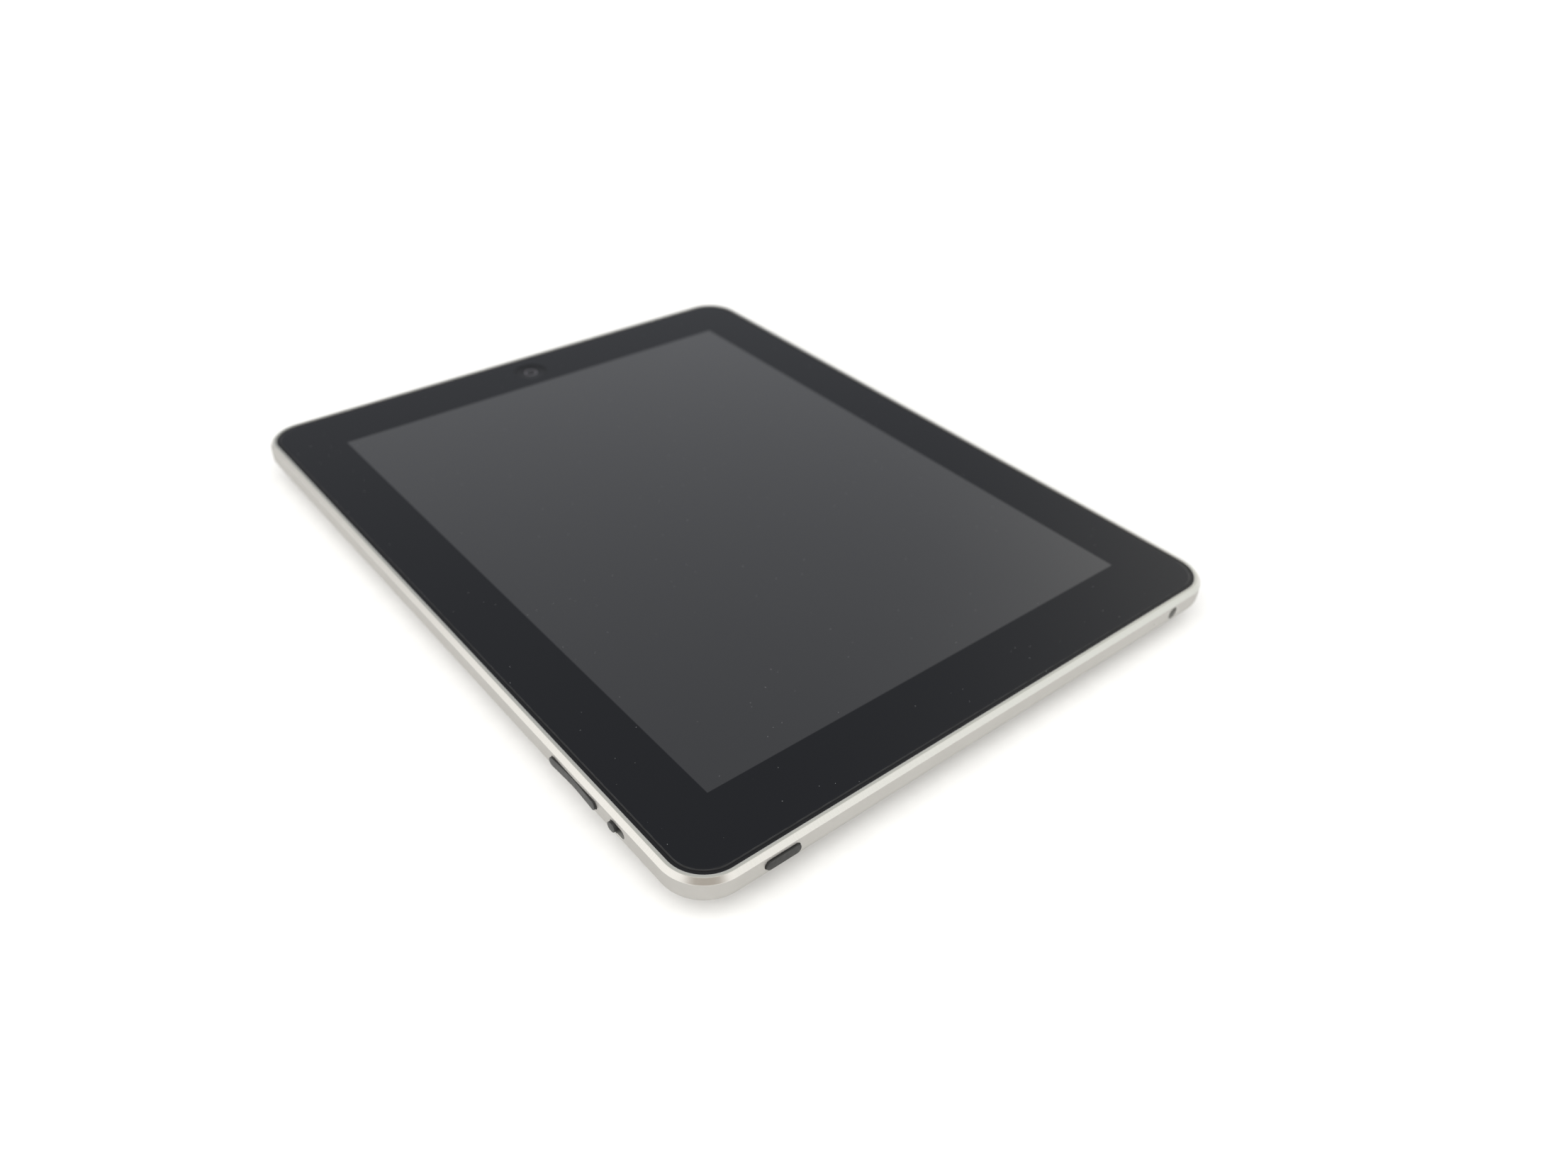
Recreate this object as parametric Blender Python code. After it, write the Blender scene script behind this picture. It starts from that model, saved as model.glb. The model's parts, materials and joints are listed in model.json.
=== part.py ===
"""Tablet computer of the 9.7-inch class: an aluminium rear case closed by a glass front.

Axes: +Z comes out of the screen, +Y points to the top edge (power button, headphone jack) and
+X to the side with the volume keys. The origin is the centre of the flat face it lies on.
All sizes below are millimetres; meshes are built in metres.
"""
import math

import bmesh
import bpy

MM = 0.001

# Overall size
WIDTH = 189.7
HEIGHT = 242.8
THICKNESS = 13.4
HALF_X = WIDTH / 2
HALF_Y = HEIGHT / 2
CORNER_RADIUS = 12.25

# Edge of the rear case, seen in section
CHAMFER_WIDTH = 1.18
CHAMFER_DROP = 1.15
RIM = 2.09                       # outer edge to the inside of the flat lip
WALL_FOOT = THICKNESS - 4.7      # where the upright wall starts to curl under
UNDER_ARCS = ((3.7, 0, 50, 4), (14.0, 50, 72, 3))   # radius, first and last turn in degrees, steps
CROWN_STEPS = 4
FLOOR = 1.2                      # sheet thickness in the middle of the back
BELLY_SOFTENING = 15.35          # the larger, the longer the corners stay tight under the case
CORNER_STEPS = 6

# Clearances
SEAM = 0.15                      # visible seams round the glass, frame and buttons
GAP = 0.3                        # between neighbours inside

# Front: glass, its frame and the display behind it
GLASS_INSET = 3.05
GLASS_THICKNESS = 1.1
GLASS_BEVEL = 0.25
FRAME_TOP = THICKNESS - 0.15
LEDGE_LOW = 11.5
LEDGE_HIGH = 12.0
LEDGE_OPENING = ((-85.0, -102.3), (83.2, 105.2))
TOUCH_LOW, TOUCH_HIGH = 11.75, 12.1
DISPLAY_LOW, DISPLAY_HIGH = 8.0, 11.4
DISPLAY_HALF_X = 82.6
DISPLAY_BOTTOM, DISPLAY_TOP = -101.8, 104.6

# Ports and buttons on the edges share one height
PORT_Z = 9.7
POWER_X = 70.2
POWER_LENGTH, POWER_HEIGHT = 10.0, 2.65
POWER_PROUD = 0.5
POWER_TRAVEL = 0.4
ROCKER_Y = 74.0
ROCKER_LENGTH, ROCKER_HEIGHT = 19.9, 2.6
ROCKER_PROUD_END, ROCKER_PROUD_MIDDLE = 0.6, 0.18
ROCKER_PIVOT_X = HALF_X - 2.45
ROCKER_SEAM = 0.2                # wider at its ends than the other seams, because it tips
SWITCH_OFFSET = 6.5              # volume switches, each side of the rocker's pivot
LOCK_SLOT_LOW, LOCK_SLOT_HIGH = 89.4, 95.4
LOCK_HEIGHT = 2.6
KNOB_LENGTH = 2.9
KNOB_PROUD = 0.7
KNOB_Y = LOCK_SLOT_LOW + SEAM + KNOB_LENGTH / 2
KNOB_TRAVEL = LOCK_SLOT_HIGH - LOCK_SLOT_LOW - KNOB_LENGTH - 2 * SEAM
SLIDER_REACH = 5.0               # the plate behind the knob hides the slot at both ends of its travel
FLANGE_GAP = 0.68                # inside of the wall to the flanges of the buttons
FLANGE_DEPTH = 0.6
FLANGE_REACH = 1.0               # how far a flange stands out past the ends of its cap
ROOT = 0.3                       # how far a cap runs into its flange
NUB = 0.4                        # the studs of the buttons that push the switches
BRACKET_LOW, BRACKET_HIGH = 7.4, 11.1
BRACKET_SHEET = 0.5
JACK_X = -74.0
JACK_RADIUS = 1.75
JACK_DEPTH = 14.0
MICROPHONE_X = -65.3
MICROPHONE_RADIUS = 0.3
DOCK_WIDTH, DOCK_LOW, DOCK_HIGH = 26.2, 6.7, 11.1
DOCK_CORNER = 1.2
DOCK_SEAM = 0.2
DOCK_BACK = -113.4
SPEAKER_X = (42.0, 55.0, 68.0)
SPEAKER_LENGTH, SPEAKER_HEIGHT = 10.3, 2.9
HOME_Y = -108.5
HOME_RADIUS = 5.55
HOME_DISH = 0.3
HOME_TRAVEL = 0.35
WINDOW_Y = 22.0
WINDOW_RADIUS = 17.0

# Inside
BATTERY_LOW, BATTERY_HIGH = 2.8, 7.6
BOARD_LOW, BOARD_HIGH = 3.0, 3.9
CHIP_LOW = BOARD_HIGH + GAP
BOARD_SCREWS = ((-78.5, 88.0), (-53.5, 88.0), (-78.5, -86.0), (-53.5, -86.0))
DOCK_SCREWS = ((-15.5, -115.8), (15.5, -115.8))
DOCK_BOSS_FOOT = 4.45
BOARD_SCREW_FOOT, DOCK_SCREW_FOOT = 1.9, 5.5
SCREW_RADIUS = 0.6
SCREW_HOLE = 0.9
BOSS_RADIUS = 1.9

# Finishes: colour, roughness, metallic
FINISHES = {
    "anodised_aluminium": ((0.60, 0.60, 0.58), 0.38, 1.0),
    "black_glass": ((0.012, 0.013, 0.015), 0.06, 0.0),
    "black_plastic": ((0.010, 0.010, 0.011), 0.45, 0.0),
    "button_plastic": ((0.055, 0.056, 0.056), 0.50, 0.0),
    "clear_sheet": ((0.55, 0.58, 0.60), 0.10, 0.0),
    "display_cell": ((0.035, 0.035, 0.040), 0.20, 0.0),
    "steel": ((0.56, 0.56, 0.55), 0.32, 1.0),
    "circuit_board": ((0.010, 0.045, 0.022), 0.50, 0.0),
    "chip_resin": ((0.020, 0.020, 0.022), 0.55, 0.0),
    "battery_wrap": ((0.030, 0.030, 0.033), 0.50, 0.0),
    "cable_film": ((0.300, 0.120, 0.030), 0.40, 0.0),
    "contact_gold": ((0.80, 0.58, 0.22), 0.30, 1.0),
    "rubber": ((0.020, 0.020, 0.020), 0.80, 0.0),
}


# ---------------------------------------------------------------- shapes

def clear_scene():
    for item in list(bpy.data.objects):
        bpy.data.objects.remove(item, do_unlink=True)


def finish(name):
    """The material of that name, made the first time it is asked for."""
    material = bpy.data.materials.get(name)
    if material is None:
        colour, roughness, metallic = FINISHES[name]
        material = bpy.data.materials.new(name)
        material.use_nodes = True
        shader = material.node_tree.nodes["Principled BSDF"]
        shader.inputs["Base Color"].default_value = (*colour, 1.0)
        shader.inputs["Roughness"].default_value = roughness
        shader.inputs["Metallic"].default_value = metallic
        material.diffuse_color = (*colour, 1.0)
    return material


def rounded(half_u, half_v, radius, centre=(0.0, 0.0), steps=CORNER_STEPS):
    """Outline of a rounded rectangle, counter-clockwise, without repeated points."""
    points = []
    for quarter, (side_u, side_v) in enumerate(((1, 1), (-1, 1), (-1, -1), (1, -1))):
        middle_u = centre[0] + side_u * (half_u - radius)
        middle_v = centre[1] + side_v * (half_v - radius)
        for step in range(steps + 1):
            angle = math.radians(90) * (quarter + step / steps)
            point = (middle_u + radius * math.cos(angle), middle_v + radius * math.sin(angle))
            if not points or math.dist(point, points[-1]) > 1e-4:
                points.append(point)
    if math.dist(points[0], points[-1]) < 1e-4:
        points.pop()
    return points


def rectangle(low, high):
    return [(low[0], low[1]), (high[0], low[1]), (high[0], high[1]), (low[0], high[1])]


def circle(centre, radius, segments=24):
    turns = [2 * math.pi * step / segments for step in range(segments)]
    return [(centre[0] + radius * math.cos(t), centre[1] + radius * math.sin(t)) for t in turns]


def ribbon(path, thickness):
    """Outline of a thin sheet that follows a path of straight runs."""
    sides = ([], [])
    for index, (u, v) in enumerate(path):
        before = path[max(index - 1, 0)]
        after = path[min(index + 1, len(path) - 1)]
        normals = []
        for start, end in ((before, (u, v)), ((u, v), after)):
            length = math.dist(start, end)
            if length > 0:
                normals.append((-(end[1] - start[1]) / length, (end[0] - start[0]) / length))
        normal_u = sum(n[0] for n in normals) / len(normals)
        normal_v = sum(n[1] for n in normals) / len(normals)
        mitre = thickness / 2 / (normal_u ** 2 + normal_v ** 2)
        sides[0].append((u + normal_u * mitre, v + normal_v * mitre))
        sides[1].append((u - normal_u * mitre, v - normal_v * mitre))
    return sides[0] + sides[1][::-1]


def turned(point, height, along):
    """A point of an outline, carried to a height along one of the three axes."""
    u, v = point
    return {"X": (height, u, v), "Y": (u, height, v), "Z": (u, v, height)}[along]


def add_rings(mesh, rings):
    """Skin over closed rings of equal length, capped at both ends."""
    loops = [[mesh.verts.new(point) for point in ring] for ring in rings]
    for lower, upper in zip(loops, loops[1:]):
        for index in range(len(lower)):
            following = (index + 1) % len(lower)
            mesh.faces.new((lower[index], lower[following], upper[following], upper[index]))
    mesh.faces.new(loops[0][::-1])
    mesh.faces.new(loops[-1])


def add_prism(mesh, outline, low, high, along="Z"):
    add_rings(mesh, [[turned(point, height, along) for point in outline] for height in (low, high)])


def add_box(mesh, low, high):
    add_prism(mesh, rectangle(low, high), low[2], high[2])


def solid(name, mesh, material_name, origin=(0.0, 0.0, 0.0), smooth=False):
    """An object from a mesh in millimetres, with its origin where the caller wants it."""
    bmesh.ops.recalc_face_normals(mesh, faces=mesh.faces)
    for vert in mesh.verts:
        vert.co = [(value - start) * MM for value, start in zip(vert.co, origin)]
    data = bpy.data.meshes.new(name)
    mesh.to_mesh(data)
    mesh.free()
    if smooth:
        data.shade_smooth()
        data.set_sharp_from_angle(angle=math.radians(30))
    data.materials.append(finish(material_name))
    item = bpy.data.objects.new(name, data)
    item.location = [value * MM for value in origin]
    bpy.context.scene.collection.objects.link(item)
    return item


def prism(name, outline, low, high, material_name, along="Z", origin=(0.0, 0.0, 0.0), smooth=False):
    mesh = bmesh.new()
    add_prism(mesh, outline, low, high, along)
    return solid(name, mesh, material_name, origin, smooth)


def box(name, low, high, material_name):
    return prism(name, rectangle(low, high), low[2], high[2], material_name)


def use_tool(body, tool, operation="DIFFERENCE"):
    """Cut one solid with another, or join it on, and keep the tool out of the result."""
    tool.hide_render = True
    tool.display_type = "WIRE"
    modifier = body.modifiers.new(tool.name, "BOOLEAN")
    modifier.operation = operation
    modifier.solver = "EXACT"
    modifier.object = tool


def cut(body, name, outline, low, high, along="Z"):
    tool = prism(f"{body.name}_{name}", outline, low, high, "chip_resin", along)
    tool.parent = body
    tool.matrix_parent_inverse = body.matrix_basis.inverted()
    use_tool(body, tool)


def pill(length, height, centre):
    return rounded(length / 2, height / 2, height / 2, centre)


# ---------------------------------------------------------------- rear case

def corner_radius_at(inset):
    """Corner radius of the back's contour lines: tight at the wall, then ever rounder."""
    return CORNER_RADIUS - inset + inset ** 2 / BELLY_SOFTENING


def case_ring(inset, height, radius):
    return [(x, y, height) for x, y in rounded(HALF_X - inset, HALF_Y - inset, radius)]


def under_profile(thickness_at):
    """Inset and height of the curl from the flat of the back up to the foot of the wall.

    thickness_at gives how far inside the outer skin the line runs, for each turn of the skin.
    """
    centre_inset, centre_height = UNDER_ARCS[0][0], WALL_FOOT
    arcs = []
    for index, (radius, first, last, steps) in enumerate(UNDER_ARCS):
        if index:
            turn = math.radians(first)
            shift = radius - UNDER_ARCS[index - 1][0]
            centre_inset += shift * math.cos(turn)
            centre_height += shift * math.sin(turn)
        arcs.append((centre_inset, centre_height, radius, first, last, steps))
    turn = math.radians(UNDER_ARCS[-1][2])
    foot = centre_height - UNDER_ARCS[-1][0] * math.sin(turn)
    crown_radius = foot / (1 - math.sin(turn))
    crown_inset = centre_inset + (crown_radius - UNDER_ARCS[-1][0]) * math.cos(turn)
    arcs.append((crown_inset, crown_radius, crown_radius, UNDER_ARCS[-1][2], 90, CROWN_STEPS))
    points = []
    for centre_inset, centre_height, radius, first, last, steps in arcs:
        for step in range(steps + (last == 90)):
            degrees = first + (last - first) * step / steps
            reach = radius - thickness_at(degrees)
            points.append((centre_inset - reach * math.cos(math.radians(degrees)),
                           centre_height - reach * math.sin(math.radians(degrees))))
    return points[::-1]


def rear_case():
    """Machined tray with a chamfered rim, slots for the buttons and bosses for the screws."""
    outer = under_profile(lambda degrees: 0.0)
    inner = under_profile(lambda degrees: RIM + (FLOOR - RIM) * degrees / 90)
    rings = [case_ring(inset, height, corner_radius_at(inset)) for inset, height in outer]
    rings.append(case_ring(0.0, THICKNESS - CHAMFER_DROP, CORNER_RADIUS))
    rings.append(case_ring(CHAMFER_WIDTH, THICKNESS, CORNER_RADIUS - CHAMFER_WIDTH))
    rings.append(case_ring(RIM, THICKNESS, CORNER_RADIUS - RIM))
    rings += [case_ring(inset, height, corner_radius_at(inset)) for inset, height in inner[::-1]]
    mesh = bmesh.new()
    add_rings(mesh, rings)
    case = solid("rear_case", mesh, "anodised_aluminium", smooth=True)

    bosses = bmesh.new()
    for centre in BOARD_SCREWS:
        add_prism(bosses, circle(centre, BOSS_RADIUS, 12), FLOOR - 0.3, BOARD_LOW - GAP)
    for centre in DOCK_SCREWS:
        add_prism(bosses, circle(centre, BOSS_RADIUS, 12), DOCK_BOSS_FOOT, DOCK_LOW - 0.1)
    use_tool(case, solid("rear_case_bosses", bosses, "anodised_aluminium"), "UNION")

    holes = bmesh.new()
    for centre in BOARD_SCREWS:
        add_prism(holes, circle(centre, SCREW_HOLE, 12), BOARD_SCREW_FOOT - GAP, BOARD_LOW)
    for centre in DOCK_SCREWS:
        add_prism(holes, circle(centre, SCREW_HOLE, 12), DOCK_SCREW_FOOT - GAP, DOCK_LOW + 0.2)
    wall = HALF_Y - RIM - 1, HALF_Y + 1
    power = pill(POWER_LENGTH + 2 * SEAM, POWER_HEIGHT + 2 * SEAM, (POWER_X, PORT_Z))
    add_prism(holes, power, *wall, "Y")
    add_prism(holes, circle((JACK_X, PORT_Z), JACK_RADIUS + 0.1), *wall, "Y")
    add_prism(holes, circle((MICROPHONE_X, PORT_Z), MICROPHONE_RADIUS, 12), *wall, "Y")
    foot_wall = -wall[1], -wall[0]
    for x in SPEAKER_X:
        add_prism(holes, pill(SPEAKER_LENGTH, SPEAKER_HEIGHT, (x, PORT_Z)), *foot_wall, "Y")
    dock_middle = (DOCK_LOW + DOCK_HIGH) / 2
    dock = rounded(DOCK_WIDTH / 2, (DOCK_HIGH - DOCK_LOW) / 2, DOCK_CORNER, (0.0, dock_middle))
    add_prism(holes, dock, *foot_wall, "Y")
    side_wall = HALF_X - RIM - 1, HALF_X + 1
    rocker = pill(ROCKER_LENGTH + 2 * ROCKER_SEAM, ROCKER_HEIGHT + 2 * SEAM, (ROCKER_Y, PORT_Z))
    add_prism(holes, rocker, *side_wall, "X")
    lock_middle = (LOCK_SLOT_LOW + LOCK_SLOT_HIGH) / 2
    add_prism(holes, pill(LOCK_SLOT_HIGH - LOCK_SLOT_LOW, LOCK_HEIGHT + SEAM, (lock_middle, PORT_Z)),
              *side_wall, "X")
    add_prism(holes, circle((0.0, WINDOW_Y), WINDOW_RADIUS + SEAM, 48), -1.0, FLOOR + 1.0)
    use_tool(case, solid("rear_case_holes", holes, "anodised_aluminium"))


def antenna_window():
    """Plain plastic disc let into the back, so that radio waves get out, and its antenna."""
    mesh = bmesh.new()
    centre = (0.0, WINDOW_Y)
    flange, flange_low, flange_high = WINDOW_RADIUS + 1.5, FLOOR + GAP, FLOOR + GAP + 0.3
    profile = ((WINDOW_RADIUS, 0.0), (WINDOW_RADIUS, flange_low), (flange, flange_low),
               (flange, flange_high))
    add_rings(mesh, [[(x, y, z) for x, y in circle(centre, radius, 48)] for radius, z in profile])
    solid("antenna_window", mesh, "black_plastic", smooth=True)
    film_low = flange_high + GAP
    prism("window_antenna", circle(centre, WINDOW_RADIUS - 2, 24), film_low, film_low + 0.3, "cable_film")


# ---------------------------------------------------------------- front

def cover_glass():
    mesh = bmesh.new()
    low = THICKNESS - GLASS_THICKNESS
    rings = ((GLASS_INSET, low), (GLASS_INSET, THICKNESS - GLASS_BEVEL),
             (GLASS_INSET + GLASS_BEVEL, THICKNESS))
    add_rings(mesh, [case_ring(inset, z, CORNER_RADIUS - inset) for inset, z in rings])
    glass = solid("cover_glass", mesh, "black_glass", smooth=True)
    cut(glass, "home_hole", circle((0.0, HOME_Y), HOME_RADIUS + SEAM, 32), low - 1, THICKNESS + 1)


def front_frame():
    """Plastic ring bonded round the glass, with a ledge under it and room for the jack."""
    outer = [(x, y) for x, y, _ in case_ring(RIM + SEAM, 0.0, CORNER_RADIUS - RIM - SEAM)]
    frame = prism("front_frame", outer, LEDGE_LOW, FRAME_TOP, "black_plastic")
    pocket_inset = GLASS_INSET - SEAM
    pocket = [(x, y) for x, y, _ in case_ring(pocket_inset, 0.0, CORNER_RADIUS - pocket_inset)]
    cut(frame, "glass_pocket", pocket, LEDGE_HIGH, THICKNESS + 1)
    low, high = LEDGE_OPENING
    centre = ((low[0] + high[0]) / 2, (low[1] + high[1]) / 2)
    opening = rounded((high[0] - low[0]) / 2, (high[1] - low[1]) / 2, 1.5, centre, steps=3)
    cut(frame, "display_opening", opening, LEDGE_LOW - 1, THICKNESS + 1)
    cut(frame, "home_hole", circle((0.0, HOME_Y), HOME_RADIUS + 1.3, 32), LEDGE_LOW - 1, THICKNESS)
    cut(frame, "light_hole", circle((0.0, 113.5), 1.2, 12), LEDGE_LOW - 1, THICKNESS)
    cut(frame, "jack_notch", rectangle((JACK_X - 4.6, 103.0), (JACK_X + 4.6, HALF_Y)),
        LEDGE_LOW - 1, LEDGE_HIGH + GAP)


def touch_sensor():
    """Clear sheet under the glass, and its cable down past the display to the board."""
    sheet = rectangle((-78.0, -101.2), (78.0, 103.0))
    prism("touch_sensor", sheet, TOUCH_LOW, TOUCH_HIGH, "clear_sheet")
    start, drop = -79.4, -84.1
    path = ((start, 11.9), (drop, 11.9), (drop, 5.3), (-77.0, 5.3))
    prism("touch_cable", ribbon(path, 0.2), -40.0, -12.0, "cable_film", along="Y")


def display():
    """Steel pan with the light bar, the light guide and the liquid-crystal cell on top."""
    wall = 0.4
    outer = rectangle((-DISPLAY_HALF_X, DISPLAY_BOTTOM), (DISPLAY_HALF_X, DISPLAY_TOP))
    tray = prism("backlight_tray", outer, DISPLAY_LOW, DISPLAY_HIGH, "steel")
    left, right = -DISPLAY_HALF_X + wall, DISPLAY_HALF_X - wall
    bottom, top = DISPLAY_BOTTOM + wall, DISPLAY_TOP - wall
    cut(tray, "hollow", rectangle((left, bottom), (right, top)), DISPLAY_LOW + GAP, DISPLAY_HIGH + 1)
    guide_low, guide_high = DISPLAY_LOW + 2 * GAP, DISPLAY_HIGH - 1.3
    cell_low = guide_high + GAP
    strip_depth = 1.4
    strip_top = bottom + GAP + strip_depth
    box("led_strip", (left + GAP, bottom + GAP, guide_low), (right - GAP, strip_top, guide_high),
        "circuit_board")
    box("light_guide", (left + GAP, strip_top + GAP, guide_low), (right - GAP, top - GAP, guide_high),
        "clear_sheet")
    box("lcd_glass", (left + GAP, bottom + GAP, cell_low), (right - GAP, top - GAP, DISPLAY_HIGH),
        "display_cell")
    path = ((-56.0, 6.0), (-64.0, 6.0), (-64.0, 7.45), (-76.0, 7.45))
    prism("display_cable", ribbon(path, 0.2), -8.0, 4.0, "cable_film", along="Y")


def light_sensor():
    box("light_sensor", (-1.5, 112.3, 10.2), (1.5, 114.7, LEDGE_LOW - GAP), "chip_resin")


# ---------------------------------------------------------------- home button

def home_button():
    """Dished cap in the glass, with its flange, rubber membrane, dome switch and bracket."""
    centre = (0.0, HOME_Y)
    cap_top = THICKNESS - 0.2
    flange_radius, flange_low, flange_high = HOME_RADIUS + 0.9, LEDGE_HIGH - 0.4, LEDGE_HIGH
    nub_radius, nub_low = 1.5, flange_low - 0.6
    dish_radius = HOME_RADIUS - 0.35
    dish_steps = 4
    profile = [(nub_radius, nub_low), (nub_radius, flange_low), (flange_radius, flange_low),
               (flange_radius, flange_high), (HOME_RADIUS, flange_high), (HOME_RADIUS, cap_top)]
    for step in range(dish_steps):
        share = 1 - (step + 1) / (dish_steps + 1)
        profile.append((dish_radius * share, cap_top - HOME_DISH * (1 - share ** 2)))
    mesh = bmesh.new()
    add_rings(mesh, [[(x, y, z) for x, y in circle(centre, radius, 32)] for radius, z in profile])
    solid("home_button", mesh, "black_plastic", origin=(0.0, HOME_Y, cap_top), smooth=True)

    membrane_low = nub_low - 0.38
    membrane = prism("home_button_membrane", circle(centre, 4.5), membrane_low, membrane_low + 0.25,
                     "rubber")
    cut(membrane, "nub_hole", circle(centre, nub_radius + 0.4), membrane_low - 1, membrane_low + 1)
    board_low, board_high = 9.3, 9.8
    switch = bmesh.new()
    dome_top = nub_low - HOME_TRAVEL - 0.25
    dome = ((2.0, board_high - 0.2), (2.0, dome_top - 0.3), (1.4, dome_top - 0.1), (0.6, dome_top))
    add_rings(switch, [[(x, y, z) for x, y in circle(centre, radius, 16)] for radius, z in dome])
    body = box("home_button_switch", (-5.0, HOME_Y - 2.8, board_low), (5.0, HOME_Y + 2.8, board_high),
               "circuit_board")
    use_tool(body, solid("home_button_switch_dome", switch, "steel"), "UNION")
    box("home_button_bracket", (-12.0, HOME_Y - 3.5, board_low - GAP - 0.5),
        (12.0, HOME_Y + 5.3, board_low - GAP), "steel")


# ---------------------------------------------------------------- edge buttons

def bracket_section(plate, depth):
    """L-shaped sheet: a plate behind the switches and a foot that reaches inwards."""
    foot_top = BRACKET_LOW + BRACKET_SHEET
    back = plate - BRACKET_SHEET
    return [(plate, BRACKET_LOW), (plate, BRACKET_HIGH), (back, BRACKET_HIGH), (back, foot_top),
            (plate - depth, foot_top), (plate - depth, BRACKET_LOW)]


def power_button():
    """Pill-shaped cap in the top edge, the switch behind it and the bracket that holds both."""
    outline = pill(POWER_LENGTH, POWER_HEIGHT, (POWER_X, PORT_Z))
    face = HALF_Y + POWER_PROUD
    shoulder = HALF_Y - RIM - FLANGE_GAP
    joint = (POWER_X, shoulder, PORT_Z)
    cap = prism("power_button", outline, shoulder - ROOT, face, "button_plastic", "Y", joint, smooth=True)
    flange = bmesh.new()
    reach = POWER_LENGTH / 2 + FLANGE_REACH
    half = POWER_HEIGHT / 2
    add_box(flange, (POWER_X - reach, shoulder - FLANGE_DEPTH, PORT_Z - half),
            (POWER_X + reach, shoulder, PORT_Z + half))
    use_tool(cap, solid("power_button_flange", flange, "button_plastic"), "UNION")
    nub_end = shoulder - FLANGE_DEPTH - NUB
    nub = prism("power_button_nub", circle((POWER_X, PORT_Z), 0.8, 12), nub_end, shoulder - 0.2,
                "button_plastic", "Y")
    use_tool(cap, nub, "UNION")

    plunger_end = nub_end - POWER_TRAVEL - 0.2
    switch_half, switch_back, switch_front = 1.3, plunger_end - 1.3, plunger_end - 0.3
    switch = box("power_switch", (POWER_X - 1.7, switch_back, PORT_Z - switch_half),
                 (POWER_X + 1.7, switch_front, PORT_Z + switch_half), "chip_resin")
    plunger = prism("power_switch_plunger", circle((POWER_X, PORT_Z), 0.9, 12), switch_front - 0.3,
                    plunger_end, "steel", "Y")
    use_tool(switch, plunger, "UNION")
    section = bracket_section(switch_back - GAP, 4.8)
    prism("power_bracket", section, POWER_X - 9.0, POWER_X + 9.0, "steel", "X")


def volume_rocker():
    """Rocker that tips about its middle onto one of two switches; returns where their bracket is."""
    outline = pill(ROCKER_LENGTH, ROCKER_HEIGHT, (ROCKER_Y, PORT_Z))
    face = HALF_X + ROCKER_PROUD_END
    shoulder = HALF_X - RIM - FLANGE_GAP
    flange_back = shoulder - FLANGE_DEPTH
    joint = (ROCKER_PIVOT_X, ROCKER_Y, PORT_Z)
    rocker = prism("volume_rocker", outline, shoulder - ROOT, face, "button_plastic", "X", joint,
                   smooth=True)
    flange = bmesh.new()
    reach = ROCKER_LENGTH / 2 + FLANGE_REACH
    half = ROCKER_HEIGHT / 2
    add_box(flange, (flange_back, ROCKER_Y - reach, PORT_Z - half),
            (shoulder, ROCKER_Y + reach, PORT_Z + half))
    use_tool(rocker, solid("volume_rocker_flange", flange, "button_plastic"), "UNION")
    nubs = bmesh.new()
    for side in (-1, 1):
        spot = (ROCKER_Y + side * SWITCH_OFFSET, PORT_Z)
        add_prism(nubs, circle(spot, 0.7, 12), flange_back - NUB, flange_back + 0.2, "X")
    use_tool(rocker, solid("volume_rocker_nubs", nubs, "button_plastic"), "UNION")

    saddle_reach = ROCKER_LENGTH / 2 + 0.3
    rise = ROCKER_PROUD_END - ROCKER_PROUD_MIDDLE
    steps = 8
    saddle = []
    for step in range(-steps, steps + 1):
        share = step / steps
        height = HALF_X + ROCKER_PROUD_MIDDLE + rise * abs(share) ** 1.4
        saddle.append((height, ROCKER_Y + saddle_reach * share))
    saddle += [(face + 1, ROCKER_Y + saddle_reach), (face + 1, ROCKER_Y - saddle_reach)]
    use_tool(rocker, prism("volume_rocker_saddle", saddle, PORT_Z - 3, PORT_Z + 3, "button_plastic"))

    plunger_end = flange_back - NUB - GAP
    switch_half, switch_back, switch_front = 1.3, plunger_end - 1.1, plunger_end - 0.2
    for side, name in ((1, "volume_up_switch"), (-1, "volume_down_switch")):
        y = ROCKER_Y + side * SWITCH_OFFSET
        switch = box(name, (switch_back, y - 1.6, PORT_Z - switch_half),
                     (switch_front, y + 1.6, PORT_Z + switch_half), "chip_resin")
        plunger = prism(name + "_plunger", circle((y, PORT_Z), 0.8, 12), switch_front - 0.3, plunger_end,
                        "steel", "X")
        use_tool(switch, plunger, "UNION")
    return switch_back - GAP


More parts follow.
